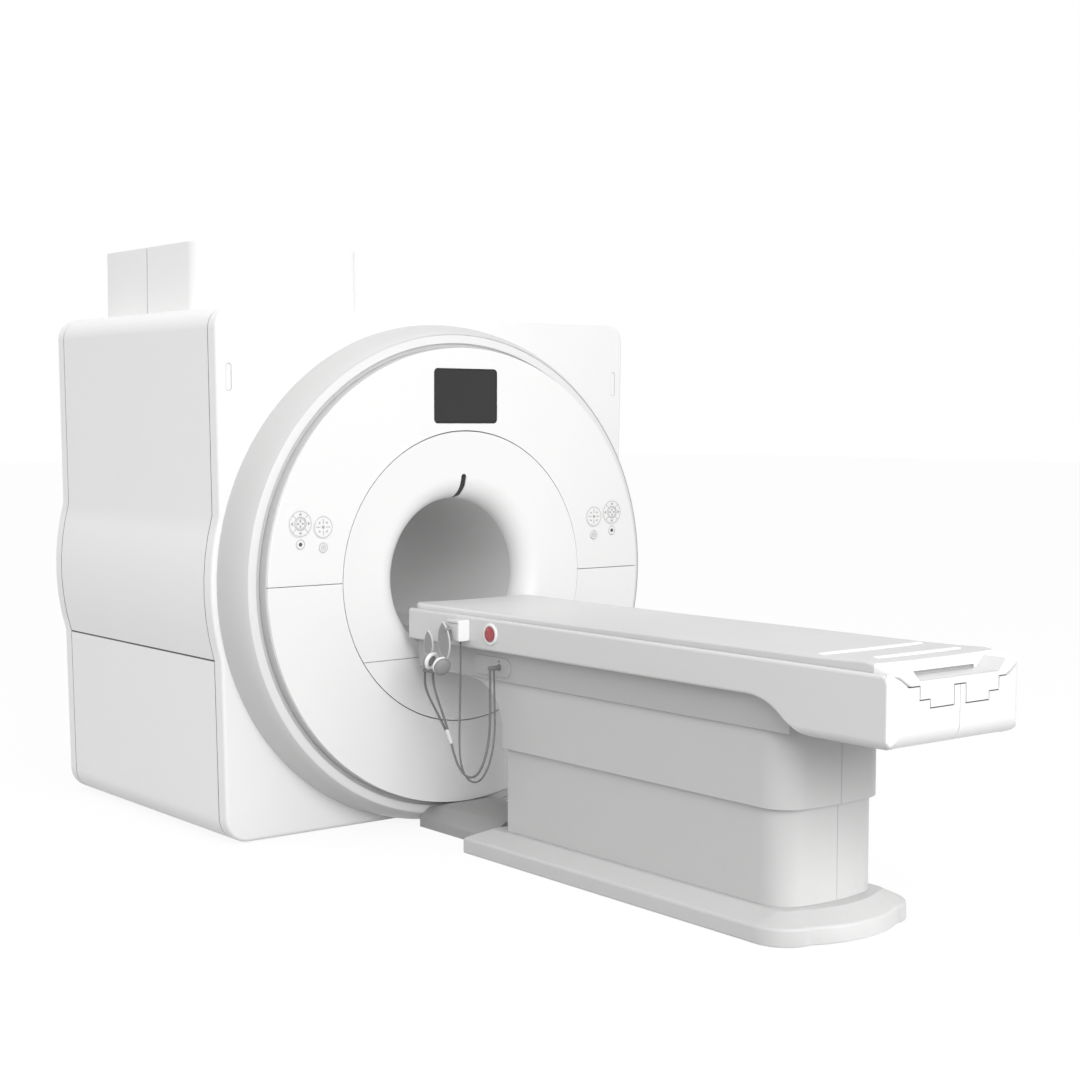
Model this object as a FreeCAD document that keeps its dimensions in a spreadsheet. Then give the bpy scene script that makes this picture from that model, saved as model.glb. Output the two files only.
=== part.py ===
import FreeCAD, Part
import math
import os
import re

import Sketcher

V = FreeCAD.Vector

# MRI scanner: gantry with a 64 cm bore, and its patient table on a two-stage lifting column.
# Millimetres. X is to the right for someone who faces the gantry, Y runs into the bore and Z is up.
# The origin is on the floor, under the isocentre.

SIZES = {
    # clearances
    "fit": 0.3,
    "lap_gap": 3,
    # gantry covers, sized from the bore's height
    "bore_height": 1030,
    "ring_sink": 10,
    "front_reach": 700,
    "gantry_depth": 1447,
    "strip_depth": 64,
    "cover_lift": 5,
    "cover_over_ring": 44,
    "cover_wall": 12,
    "top_draw": 3,
    "waist_draw": 16,
    "waist_rise": 270,
    "bulge_radius": 1015,
    "side_seam_draw": 21,
    "side_seam_drop": 302,
    "foot_draw": 36,
    "top_corner": 90,
    "foot_corner": 100,
    "lock_draw": 60,
    "lock_rise": 808,
    "lock_slot_width": 25,
    "lock_slot_length": 108,
    "lock_slot_depth": 8,
    # front ring and disc
    "ring_reach": 165,
    "ring_taper": 49,
    "ring_lip_width": 34,
    "groove_width": 20,
    "hole_room": 140,
    "disc_reach": 214.5,
    "disc_band": 338.4,
    # bore and its mouths
    "mouth_face": 200,
    "lip_radius": 100,
    "mouth_wall": 10,
    "bore_radius": 320,
    "liner_wall": 10,
    "mouth_seam_drop": 322,
    "rear_mouth_rim": 20,
    "laser_width": 22,
    "laser_reach": 96,
    # magnet
    "vessel_clearance": 100,
    "coil_depth": 100,
    "vessel_front_room": 56,
    "vessel_rear_room": 53,
    "coil_end_room": 25,
    "rail_height": 90,
    "rail_width": 120,
    "rail_offset": 420,
    "beam_width": 140,
    "beam_inset": 80,
    "foot_length": 160,
    "neck_offset": 420,
    "neck_place": 280,
    "neck_radius": 130,
    "neck_drop": 54,
    "cold_head_radius": 80,
    "cold_head_height": 250,
    "top_seam_corner": 17,
    # turret
    "turret_left": 820,
    "turret_right": 25,
    "turret_front": 140,
    "turret_rear_inset": 47,
    "turret_seam": 300,
    "turret_height": 301,
    "turret_corner": 70,
    # controls on the disc
    "screen_width": 320,
    "screen_gap": 31.4,
    "screen_height": 224,
    "screen_corner": 18,
    "screen_depth": 16,
    "key_proud": 1.6,
    "key_depth": 14,
    "pad_margin": 144,
    "pad_rise": 242,
    "pad_step": 16,
    "pad_gap": 1,
    "big_pad_radius": 54,
    "pad_centre_radius": 24,
    "small_pad_radius": 48,
    "round_key_radius": 20.5,
    "outer_key_gap": 5.5,
    "inner_key_gap": 11.5,
    # floor pieces
    "duct_half_width": 200,
    "duct_side": 40,
    "duct_front_crest": 76,
    "duct_crest": 121,
    "duct_rise_length": 307,
    "base_half_width": 335,
    "base_gantry_room": 155,
    "base_foot_room": 94,
    "base_end_bow": 50,
    "base_corner": 130,
    "base_edge": 60,
    "base_top": 98,
    "base_slope": 80,
    # pedestal, from the table's foot end and the deck down
    "tier_step": 15,
    "end_bow": 12,
    "tier_corner": 110,
    "tier_wall": 12,
    "tier_lap": 29,
    "middle_half_width": 250,
    "middle_gantry_end": 1490,
    "middle_height": 271,
    "middle_rim": 50,
    "arch_radius": 190,
    "arch_overhang": 348,
    "skirt_half_width": 262,
    "skirt_wall": 9,
    "skirt_height": 115,
    "skirt_overlap": 12,
    "skirt_foot_room": 24,
    "skirt_gantry_room": 15,
    "skirt_foot_inset": 430,
    "column_half_width": 160,
    "column_gantry_inset": 260,
    "column_foot_inset": 331,
    "column_wall": 18,
    "column_room": 40,
    "middle_column_bottom": 262,
    "inner_column_bottom": 370,
    # table top
    "deck_drop": 235,
    "deck_thickness": 19,
    "cradle_gap": 10.5,
    "table_gap": 20.5,
    "cradle_half_width": 290,
    "cradle_foot_end": 3470,
    "cradle_corner": 70,
    "groove_half_width": 30,
    "groove_height": 62,
    "keel_half_width": 138,
    "keel_height": 27,
    "first_step_half_width": 186,
    "second_step_rise": 43,
    "second_step_half_width": 235,
    "rim_flare": 38,
    "rim_thickness": 6,
    "rim_width": 26,
    "trough_depth": 24,
    "rise_inset": 520,
    "rise_peak_inset": 135,
    "rise_height": 30,
    "scoop_half_width": 190,
    "scoop_lift": 13,
    "scoop_length": 95,
    "panel_half_width": 305,
    "panel_wall": 12,
    "panel_drop": 1,
    "panel_height": 118,
    "flange_height": 44,
    "end_depth": 35,
    "panel_dip_start_inset": 585,
    "panel_dip_end_inset": 285,
    "panel_dip_depth": 106,
    "end_corner": 43,
    "end_lip": 7,
    "end_bottom_round": 36,
    "end_gap": 2,
    # fittings on the table
    "stop_place": 1491,
    "stop_drop": 51,
    "stop_ring_radius": 41,
    "stop_ring_depth": 8,
    "stop_radius": 29,
    "stop_stem_radius": 20,
    "stop_reach": 22,
    "stop_travel": 5,
    "spout_shift": 184,
    "outlet_shift": 51,
    "outlet_drop": 62,
    "outlet_half_length": 120,
    "outlet_radius": 37,
    "outlet_depth": 4,
    "spout_reach": 55,
    "spout_radius": 9,
    "hook_place": 1314,
    "hook_width": 80,
    "hook_drop": 7,
    "hook_height": 83,
    "hook_depth": 55,
    "peg_radius": 7,
    "peg_shift": 7,
    "peg_drop": 37,
    "peg_reach": 34,
    "headset_room": 20,
    "arm_thickness": 8,
    "near_cup_shift": 18,
    "near_cup_drop": 144,
    "far_cup_shift": 117,
    "far_cup_drop": 132,
    "cup_radius": 37,
    "cup_depth": 24,
    "fitting_width": 66,
    "fitting_drop": 180,
    "fitting_thickness": 14,
    "hose_radius": 4.5,
    "call_hose_radius": 3.5,
    "splitter_radius": 9,
}

# Places that follow from the sizes, in the order in which they are worked out.
TIED = {
    "ring_radius": "bore_height + ring_sink",
    "cover_height": "bore_height + ring_radius + cover_over_ring",
    "top_half_width": "ring_radius - top_draw",
    "waist_half_width": "ring_radius - waist_draw",
    "waist_height": "bore_height + waist_rise",
    "side_seam_half_width": "ring_radius - side_seam_draw",
    "side_seam_height": "bore_height - side_seam_drop",
    "foot_half_width": "ring_radius - foot_draw",
    "lock_offset": "ring_radius - lock_draw",
    "lock_height": "bore_height + lock_rise",
    "top_seam_half_width": "top_half_width - top_corner - top_seam_corner",
    "cover_hole_radius": "ring_radius - hole_room",
    "ring_lip_radius": "ring_radius - ring_taper",
    "disc_radius": "ring_lip_radius - ring_lip_width - groove_width",
    "mouth_radius": "disc_radius - disc_band",
    "rear_mouth_radius": "bore_radius + lip_radius + rear_mouth_rim",
    "vessel_radius": "bore_height - vessel_clearance",
    "vessel_front": "front_reach - strip_depth - vessel_front_room",
    "vessel_rear": "gantry_depth - front_reach - strip_depth - vessel_rear_room",
    "front_beam_place": "beam_inset - vessel_front",
    "rear_beam_place": "vessel_rear - beam_inset",
    "turret_rear": "gantry_depth - front_reach - turret_rear_inset",
    "deck_bottom": "bore_height - deck_drop",
    "vessel_bore_radius": "bore_radius + liner_wall + coil_depth",
    "coil_front": "vessel_front - coil_end_room",
    "coil_rear": "vessel_rear - coil_end_room",
    "neck_top": "cover_height - neck_drop",
    "screen_bottom": "bore_height + mouth_radius + screen_gap",
    "big_pad_offset": "disc_radius - pad_margin",
    "big_pad_height": "bore_height + pad_rise",
    "small_pad_offset": "big_pad_offset - big_pad_radius - small_pad_radius - pad_gap",
    "small_pad_height": "big_pad_height - pad_step",
    "outer_key_height": "big_pad_height - big_pad_radius - outer_key_gap - round_key_radius",
    "inner_key_height": "small_pad_height - small_pad_radius - inner_key_gap - round_key_radius",
    "cradle_gantry_end": "front_reach + disc_reach + cradle_gap",
    "table_gantry_end": "front_reach + disc_reach + table_gap",
    "panel_foot_end": "cradle_foot_end - end_depth",
    "panel_dip_start": "panel_foot_end - panel_dip_start_inset",
    "panel_dip_end": "panel_foot_end - panel_dip_end_inset",
    "rise_start": "cradle_foot_end - rise_inset",
    "rise_peak": "cradle_foot_end - rise_peak_inset",
    "skirt_gantry_end": "table_gantry_end + skirt_gantry_room",
    "skirt_foot_end": "panel_foot_end - skirt_foot_inset",
    "middle_foot_end": "skirt_foot_end - skirt_foot_room",
    "lower_foot_end": "middle_foot_end - tier_step",
    "base_foot_end": "lower_foot_end + base_foot_room",
    "lower_gantry_end": "middle_gantry_end + tier_step",
    "lower_half_width": "middle_half_width - tier_step",
    "base_gantry_end": "lower_gantry_end - base_gantry_room",
    "arch_reach": "middle_gantry_end - arch_overhang",
    "column_gantry_end": "middle_gantry_end + column_gantry_inset",
    "column_foot_end": "middle_foot_end - column_foot_inset",
    "skirt_bottom": "deck_bottom - skirt_height",
    "middle_top": "skirt_bottom + skirt_overlap",
    "middle_bottom": "middle_top - middle_height",
    "lower_top": "middle_bottom + tier_lap",
    "arch_spring": "skirt_bottom - arch_radius - 10",
    "outer_column_top": "lower_top - column_room",
    "middle_column_top": "middle_top - tier_wall * 2",
    "cradle_bottom": "deck_bottom + deck_thickness",
    "groove_top": "cradle_bottom + groove_height",
    "first_step": "cradle_bottom + keel_height",
    "second_step": "first_step + second_step_rise",
    "rim_under": "second_step + rim_flare",
    "rim_height": "rim_under + rim_thickness",
    "scoop_floor": "second_step + scoop_lift",
    "panel_bottom": "deck_bottom + panel_drop",
    "panel_top": "panel_bottom + panel_height",
    "flange_top": "panel_bottom + flange_height",
    "panel_dip_bottom": "panel_bottom - panel_dip_depth",
    "end_top": "rim_height + end_lip",
    "stop_height": "panel_top - stop_drop",
    "outlet_height": "deck_bottom - outlet_drop",
    "hook_top": "panel_top - hook_drop",
    "hook_bottom": "hook_top - hook_height",
    "hook_reach": "panel_half_width + hook_depth",
    "peg_place": "hook_place - peg_shift",
    "peg_height": "hook_top - peg_drop",
    "headset_offset": "hook_reach + headset_room",
    "spout_place": "peg_place + spout_shift",
    "outlet_place": "spout_place - outlet_shift",
    "near_cup_place": "peg_place - near_cup_shift",
    "near_cup_height": "peg_height - near_cup_drop",
    "far_cup_place": "peg_place - far_cup_shift",
    "far_cup_height": "peg_height - far_cup_drop",
    "fitting_bottom": "peg_height - fitting_drop",
}

doc = FreeCAD.newDocument("MriScanner")
sheet = doc.addObject("Spreadsheet::Sheet", "Sizes")
for row, (alias, number) in enumerate((SIZES | TIED).items(), 1):
    sheet.set(f"A{row}", f"={number}")
    sheet.setAlias(f"A{row}", alias)
doc.recompute()

nodes = {}


def bound(text):
    """The text of an expression, with each size as a reference into the sheet."""
    return re.sub(r"[a-z_]+", lambda word: "Sizes." + word[0] if word[0] in SIZES | TIED else word[0], str(text))


def value(text):
    """The number that an expression in the sheet's sizes has now."""
    return float(sheet.evalExpression(bound(text)))


def bind(item, place, text):
    """Sets a property from an expression in the sheet's sizes."""
    item.setExpression(place, bound(text))


def keep(name, item):
    """Labels a finished sub-part with its node's name."""
    item.Label = name
    nodes[name] = item
    return item


# %% Ways to build a piece

def box(name, across, along, up):
    """A block between pairs of places along X, Y and Z."""
    block = doc.addObject("Part::Box", name)
    spans = (("Length", "x", across), ("Width", "y", along), ("Height", "z", up))
    for side, axis, (low, high) in spans:
        bind(block, f"Placement.Base.{axis}", low)
        bind(block, side, f"({high}) - ({low})")
    return block


def cylinder(name, axis, centre, low, high, radius):
    """A round bar along X, Y or Z; centre is its place on the other two axes, in their order."""
    bar = doc.addObject("Part::Cylinder", name)
    bind(bar, "Radius", radius)
    bind(bar, "Height", f"({high}) - ({low})")
    turn = {"x": (V(0, 1, 0), 90), "y": (V(1, 0, 0), -90), "z": (V(0, 0, 1), 0)}[axis]
    bar.Placement = FreeCAD.Placement(V(), FreeCAD.Rotation(*turn))
    places = dict(zip([letter for letter in "xyz" if letter != axis], centre))
    places[axis] = low
    for letter, place in places.items():
        bind(bar, f"Placement.Base.{letter}", place)
    return bar


def prism(name, axis, centre, low, high, radius):
    """A small round piece with flat facets, along X or Y."""
    steps = []
    for number in range(ROUND_SIDES):
        angle = 360 * number / ROUND_SIDES
        steps.append((f"{centre[0]} + ({radius}) * cos({angle} deg)",
                      f"{centre[1]} + ({radius}) * sin({angle} deg)"))
    return extrude(name, axis, low, high, steps)


def cut(name, base, tools):
    """Takes each tool from the base in turn."""
    for number, tool in enumerate(tools):
        less = doc.addObject("Part::Cut", f"{name}_cut_{number}")
        less.Base = base
        less.Tool = tool
        base = less
    return base


def common(name, base, tool):
    """What two pieces share."""
    both = doc.addObject("Part::Common", name)
    both.Base = base
    both.Tool = tool
    return both


def fuse(name, pieces):
    """Several pieces as one solid."""
    whole = doc.addObject("Part::MultiFuse", name)
    whole.Shapes = pieces
    whole.Refine = True
    return whole


def draw(sketch, steps):
    """Draws a closed outline. A step is a corner that a straight side leads to, or a corner and
    the radius of the arc that leads to it: positive turns left, negative turns right."""
    steps = [step for step in steps if step]
    ends = [V(value(step[0]), value(step[1]), 0) for step in steps]
    for number, step in enumerate(steps):
        start = ends[number - 1]
        end = ends[number]
        if len(step) == 2:
            sketch.addGeometry(Part.LineSegment(start, end))
            continue
        radius = abs(value(step[2]))
        left = value(step[2]) > 0
        chord = end - start
        height = math.sqrt(max(radius ** 2 - chord.Length ** 2 / 4, 0))
        side = V(-chord.y, chord.x, 0).normalize() * (height if left else -height)
        centre = (start + end) / 2 + side
        first, last = (start, end) if left else (end, start)
        angles = [math.atan2(point.y - centre.y, point.x - centre.x) for point in (first, last)]
        sketch.addGeometry(Part.ArcOfCircle(Part.Circle(centre, V(0, 0, 1), radius), *angles))
    for number, step in enumerate(steps):
        following = (number + 1) % len(steps)
        here = 1 if len(step) == 3 and value(step[2]) < 0 else 2
        turned = len(steps[following]) == 3 and value(steps[following][2]) < 0
        there = 2 if turned else 1
        sketch.addConstraint(Sketcher.Constraint("Coincident", number, here, following, there))
        for kind, text in (("DistanceX", step[0]), ("DistanceY", step[1])):
            rule = sketch.addConstraint(Sketcher.Constraint(kind, -1, 1, number, here, value(text)))
            bind(sketch, f"Constraints[{rule}]", text)
        if len(step) == 2:
            continue
        chord = ends[number] - ends[number - 1]
        if abs(chord.Length - 2 * abs(value(step[2]))) > HALF_CIRCLE_SLACK:
            kind, place, text = "Radius", (number,), f"abs({step[2]})"
        elif abs(chord.x) < abs(chord.y):
            kind, place, text = "DistanceX", (-1, 1, number, 3), step[0]
        else:
            kind, place, text = "DistanceY", (-1, 1, number, 3), step[1]
        rule = sketch.addConstraint(Sketcher.Constraint(kind, *place, value(text)))
        bind(sketch, f"Constraints[{rule}]", text)


def new_sketch(body, name, plane, offset=None):
    """An empty sketch on one of the body's own origin planes, moved along its normal."""
    sketch = body.newObject("Sketcher::SketchObject", name)
    base = next(item for item in body.Origin.OriginFeatures if item.Role == plane)
    sketch.AttachmentSupport = [(base, "")]
    sketch.MapMode = "FlatFace"
    if offset:
        bind(sketch, ".AttachmentOffset.Base.z", offset)
    return sketch


def extrude(name, axis, low, high, steps, body=None):
    """An outline pushed from low to high along an axis. Outlines are drawn in (X, Z) for Y,
    in (Y, Z) for X and in (X, Y) for Z. With a body given, the pad joins that body."""
    body = body or doc.addObject("PartDesign::Body", name)
    plane = {"x": "YZ_Plane", "y": "XZ_Plane", "z": "XY_Plane"}[axis]
    offset = f"-({high})" if axis == "y" else low
    sketch = new_sketch(body, f"{name}_outline", plane, offset)
    draw(sketch, steps)
    pad = body.newObject("PartDesign::Pad", f"{name}_pad")
    pad.Profile = sketch
    bind(pad, "Length", f"({high}) - ({low})")
    return body


def revolve(name, steps):
    """A profile in (distance from the bore's axis, Y), turned about the bore's axis."""
    body = doc.addObject("PartDesign::Body", name)
    bind(body, "Placement.Base.z", "bore_height")
    sketch = new_sketch(body, f"{name}_profile", "XY_Plane")
    draw(sketch, steps)
    turn = body.newObject("PartDesign::Revolution", f"{name}_turn")
    turn.Profile = sketch
    axis = next(item for item in body.Origin.OriginFeatures if item.Role == "Y_Axis")
    turn.ReferenceAxis = (axis, [""])
    turn.Angle = 360
    return body


def loft(name, levels):
    """A piece drawn through level outlines in (X, Y), each at its height."""
    body = doc.addObject("PartDesign::Body", name)
    sketches = []
    for number, (height, steps) in enumerate(levels):
        sketch = new_sketch(body, f"{name}_level_{number}", "XY_Plane", height)
        draw(sketch, steps)
        sketches.append(sketch)
    skin = body.newObject("PartDesign::AdditiveLoft", f"{name}_loft")
    skin.Profile = sketches[0]
    skin.Sections = sketches[1:]
    skin.Ruled = True
    return body


def from_code(name, shape):
    """A piece whose shape is worked out in code."""
    item = doc.addObject("Part::Feature", name)
    item.Shape = shape
    item.Placement = FreeCAD.Placement()
    return item


def on_side(side, text):
    """A place across the table or gantry, for the left (-1) or right (1) side."""
    return f"{side} * ({text})"


def across(side, near, far):
    """The pair of places between two distances from the middle plane, in rising order."""
    pair = (on_side(side, near), on_side(side, far))
    return pair if side > 0 else pair[::-1]


SIDES = {"left": -1, "right": 1}
ROUND_SIDES = 24
LIP_STEPS = 3
REAR_LIP_STEPS = 1
HALF_CIRCLE_SLACK = 1e-6


# %% Gantry covers

def gantry_outline():
    """The end covers' outline, with the waist, the bulge at bore height and the tapered foot."""
    right = [
        ("foot_half_width - foot_corner", "cover_lift"),
        ("foot_half_width", "cover_lift + foot_corner", "foot_corner"),
        ("side_seam_half_width", "side_seam_height"),
        ("waist_half_width", "waist_height", "bulge_radius"),
        ("top_half_width", "cover_height - top_corner"),
        ("top_half_width - top_corner", "cover_height", "top_corner"),
    ]
    left = [(f"-({step[0]})", step[1]) for step in reversed(right)]
    left[1] += ("top_corner",)
    left[3] += ("bulge_radius",)
    left[5] += ("foot_corner",)
    return right + left


def end_cover_of_gantry(name, low, high, hole_radius):
    """A flat end cover with its round opening."""
    plate = extrude(f"{name}_plate", "y", low, high, gantry_outline())
    hole = cylinder(f"{name}_hole", "y", ("0", "bore_height"), f"{low} - 1", f"{high} + 1", hole_radius)
    return cut(name, plate, [hole])


def make_front_cover():
    plate = end_cover_of_gantry("front", "-front_reach", "strip_depth - front_reach", "cover_hole_radius")
    tools = []
    for word, side in SIDES.items():
        centre = on_side(side, "lock_offset")
        half = "lock_slot_width / 2"
        reach = "(lock_slot_length - lock_slot_width) / 2"
        steps = [
            (f"{centre} + {half}", f"lock_height + {reach}"),
            (f"{centre} - {half}", f"lock_height + {reach}", half),
            (f"{centre} - {half}", f"lock_height - {reach}"),
            (f"{centre} + {half}", f"lock_height - {reach}", half),
        ]
        tools.append(extrude(f"lock_slot_{word}", "y", "-front_reach - 1", "lock_slot_depth - front_reach", steps))
    keep("front_cover", cut("front_slots", plate, tools))


def make_rear_cover():
    rear = "gantry_depth - front_reach"
    plate = end_cover_of_gantry("rear", f"{rear} - strip_depth", rear, "rear_mouth_radius + fit")
    keep("rear_cover", plate)


def make_side_covers():
    """Upper covers bulge at bore height, under the waist crease; lower covers taper to the foot."""
    low = "strip_depth + fit - front_reach"
    high = "gantry_depth - front_reach - strip_depth - fit"
    for word, side in SIDES.items():
        turn = "" if side > 0 else "-"
        inner_bulge = f"{turn}(bulge_radius - cover_wall)"
        upper = [
            (on_side(side, "top_half_width - top_corner"), "cover_height", f"{turn}top_corner"),
            (on_side(side, "top_seam_half_width"), "cover_height"),
            (on_side(side, "top_seam_half_width"), "cover_height - cover_wall"),
            (on_side(side, "top_half_width - top_corner"), "cover_height - cover_wall"),
            (on_side(side, "top_half_width - cover_wall"), "cover_height - top_corner",
             f"-({turn}(top_corner - cover_wall))"),
            (on_side(side, "waist_half_width - cover_wall"), "waist_height"),
            (on_side(side, "side_seam_half_width - cover_wall"), "side_seam_height + fit",
             f"-({inner_bulge})"),
            (on_side(side, "side_seam_half_width"), "side_seam_height + fit"),
            (on_side(side, "waist_half_width"), "waist_height", f"{turn}bulge_radius"),
            (on_side(side, "top_half_width"), "cover_height - top_corner"),
        ]
        keep(f"side_cover_upper_{word}", extrude(f"upper_side_{word}", "y", low, high, upper))
        lower = [
            (on_side(side, "foot_half_width"), "cover_lift + foot_corner", f"{turn}foot_corner"),
            (on_side(side, "side_seam_half_width"), "side_seam_height"),
            (on_side(side, "side_seam_half_width - cover_wall"), "side_seam_height"),
            (on_side(side, "foot_half_width - cover_wall"), "cover_lift + foot_corner"),
            (on_side(side, "foot_half_width - foot_corner"), "cover_lift + cover_wall",
             f"-({turn}(foot_corner - cover_wall))"),
            (on_side(side, "foot_half_width - foot_corner"), "cover_lift"),
        ]
        keep(f"side_cover_lower_{word}", extrude(f"lower_side_{word}", "y", low, high, lower))


def make_top_cover():
    half = "top_seam_half_width - fit"
    plate = box("top_plate", (f"-({half})", half),
                ("strip_depth + fit - front_reach", "gantry_depth - front_reach - strip_depth - fit"),
                ("cover_height - cover_wall", "cover_height"))
    hole = cylinder("top_hole", "z", ("-neck_offset", "neck_place"), "cover_height - cover_wall - 1",
                    "cover_height + 1", "neck_radius + lap_gap")
    keep("top_cover", cut("top", plate, [hole]))


def make_turret():
    """Cover of the cold head, in two hoods that meet at a cross seam."""
    hoods = {
        "front": ("-turret_front", "turret_seam - fit", -1),
        "rear": ("turret_seam", "turret_rear", 1),
    }
    wall = "cover_wall"
    for word, (low, high, end) in hoods.items():
        corner = "turret_corner"
        if end < 0:
            outline = [
                ("-turret_right", high), ("-turret_left", high), ("-turret_left", f"{low} + {corner}"),
                (f"{corner} - turret_left", low, corner), (f"-turret_right - {corner}", low),
                ("-turret_right", f"{low} + {corner}", corner),
            ]
        else:
            outline = [
                ("-turret_left", low), ("-turret_right", low), ("-turret_right", f"{high} - {corner}"),
                (f"-turret_right - {corner}", high, corner), (f"{corner} - turret_left", high),
                ("-turret_left", f"{high} - {corner}", corner),
            ]
        hood = extrude(f"turret_{word}", "z", "cover_height", "cover_height + turret_height", outline)
        inside = box(f"turret_{word}_inside", (f"{wall} * 2 - turret_left", f"-turret_right - {wall} * 2"),
                     (f"{low} + {wall} * 2" if end < 0 else f"{low} - 1",
                      f"{high} + 1" if end < 0 else f"{high} - {wall} * 2"),
                     ("cover_height - 1", f"cover_height + turret_height - {wall}"))
        keep(f"turret_cover_{word}", cut(f"turret_{word}", hood, [inside]))


# %% Magnet and bore

def make_magnet_frame():
    """Two long rails on three cross beams; the middle beam's underside holds the origin."""
    pieces = []
    front = "strip_depth + fit - front_reach"
    rear = "gantry_depth - front_reach - strip_depth - fit"
    for word, side in SIDES.items():
        pieces.append(box(f"rail_{word}", across(side, "rail_offset - rail_width / 2",
                                                 "rail_offset + rail_width / 2"),
                          (front, rear), ("0", "rail_height")))
    reach = "foot_half_width - cover_wall - fit"
    for word, place in (("front", "front_beam_place"), ("middle", "0"), ("rear", "rear_beam_place")):
        pieces.append(box(f"beam_{word}", (f"foot_corner - ({reach})", f"({reach}) - foot_corner"),
                          (f"{place} - beam_width / 2", f"{place} + beam_width / 2"),
                          ("0", "rail_height")))
        for side_word, side in SIDES.items():
            arm = across(side, f"{reach} - foot_corner", reach)
            pieces.append(box(f"arm_{word}_{side_word}", arm,
                              (f"{place} - beam_width / 4", f"{place} + beam_width / 4"),
                              ("cover_lift + foot_corner", "cover_lift + foot_corner + beam_width / 4")))
            knee = across(side, f"{reach} - foot_corner - beam_width", f"{reach} - foot_corner")
            pieces.append(box(f"knee_{word}_{side_word}", knee,
                              (f"{place} - beam_width / 4", f"{place} + beam_width / 4"),
                              ("rail_height", "cover_lift + foot_corner + beam_width / 4")))
    keep("magnet_frame", fuse("frame", pieces))


def make_vessel():
    """Closed helium vessel on four feet, with the neck that carries the cold head."""
    vessel = revolve("vessel", [
        ("vessel_bore_radius", "-vessel_front"), ("vessel_radius", "-vessel_front"),
        ("vessel_radius", "vessel_rear"), ("vessel_bore_radius", "vessel_rear"),
    ])
    pieces = [vessel]
    for word, side in SIDES.items():
        span = across(side, "rail_offset - rail_width / 2", "rail_offset + rail_width / 2")
        for end, place in (("front", "front_beam_place + foot_length / 2"),
                           ("rear", "rear_beam_place - foot_length / 2")):
            pieces.append(box(f"foot_{end}_{word}", span,
                              (f"{place} - foot_length / 2", f"{place} + foot_length / 2"),
                              ("rail_height", "bore_height - vessel_radius * 0.8")))
    neck = cylinder("neck", "z", ("-neck_offset", "neck_place"), "bore_height + vessel_radius * 0.8",
                    "neck_top", "neck_radius")
    keep("cryostat_vessel", fuse("vessel_whole", pieces + [neck]))
    head = cylinder("head", "z", ("-neck_offset", "neck_place"), "neck_top",
                    "neck_top + cold_head_height", "cold_head_radius")
    keep("cold_head", head)


def make_bore():
    """Gradient coil in the vessel's bore, and the tube that the patient lies in, with its bed."""
    rear_end = "gantry_depth - front_reach - lip_radius - fit"
    front_end = "-front_reach - lip_radius + fit"
    liner = "bore_radius + liner_wall"
    coil = revolve("coil", [
        (f"{liner} + fit", "-coil_front"), ("vessel_bore_radius - fit", "-coil_front"),
        ("vessel_bore_radius - fit", "coil_rear"), (f"{liner} + fit", "coil_rear"),
    ])
    keep("gradient_coil", coil)
    tube = revolve("liner", [
        ("bore_radius", front_end), (liner, front_end), (liner, rear_end), ("bore_radius", rear_end),
    ])
    keep("bore_liner", tube)
    bed = "cradle_bottom - fit"
    half = "keel_half_width - lap_gap"
    sill = f"bore_height - sqrt((bore_radius - fit) ^ 2 - ({half}) ^ 2)"
    keep("bore_bridge", extrude("bridge", "y", front_end, rear_end, [
        (half, sill, "bore_radius - fit"), (half, bed), (f"-({half})", bed), (f"-({half})", sill),
    ]))


def mouth_profile(face, rim, lip, turn, rim_radius, count):
    """Section of a mouth: nearly flat from its rim, then rounded into the bore in even steps."""
    steps = [(rim_radius, rim)]
    for number in range(count + 1):
        angle = number * 90 / count
        steps.append((f"bore_radius + lip_radius * (1 - sin({angle} deg))",
                      f"{face} + {turn} * lip_radius * (1 - cos({angle} deg))"))
    return steps + [
        ("bore_radius + mouth_wall", lip),
        ("bore_radius + lip_radius", f"{face} + {turn} * mouth_wall * 2"),
        (rim_radius, f"{rim} + {turn} * mouth_wall"),
    ]


def make_mouths():
    """Front mouth in two pieces, with the slot of the positioning laser, and the rear mouth."""
    face = "(-front_reach - mouth_face)"
    lip = "(-front_reach - lip_radius)"
    rim = "(-front_reach - disc_reach)"
    profile = mouth_profile(face, rim, lip, "1", "mouth_radius - fit", LIP_STEPS)
    seam = "bore_height - mouth_seam_drop"
    wide = ("-mouth_radius - 1", "mouth_radius + 1")
    deep = (f"{rim} - 1", f"{lip} + 1")
    below = box("below_seam", wide, deep, ("bore_height - mouth_radius - 1", f"{seam} - fit"))
    lower = common("mouth_lower", revolve("mouth_low", profile), below)
    keep("funnel_lower", lower)
    near_seam = box("near_seam", wide, deep, ("bore_height - mouth_radius - 1", seam))

    def laser_block(name, spare):
        half = f"laser_width / 2 + {spare}"
        return box(name, (f"-({half})", half), (f"{face} - 1", f"{face} + laser_reach + {spare}"),
                   (f"bore_height + bore_radius - mouth_wall - {spare}",
                    f"bore_height + bore_radius + laser_reach + {spare}"))

    upper = cut("mouth_upper", revolve("mouth_up", profile), [near_seam, laser_block("laser_slot", "fit")])
    keep("funnel_upper", upper)
    keep("laser_window", common("laser", revolve("laser_ring", profile), laser_block("laser_block", "0")))
    back = "gantry_depth - front_reach"
    rear = revolve("mouth_rear", mouth_profile(
        f"({back})", f"({back})", f"({back} - lip_radius)", "-1", "rear_mouth_radius", REAR_LIP_STEPS))
    keep("rear_funnel", rear)


# %% Ring, disc and controls

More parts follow.
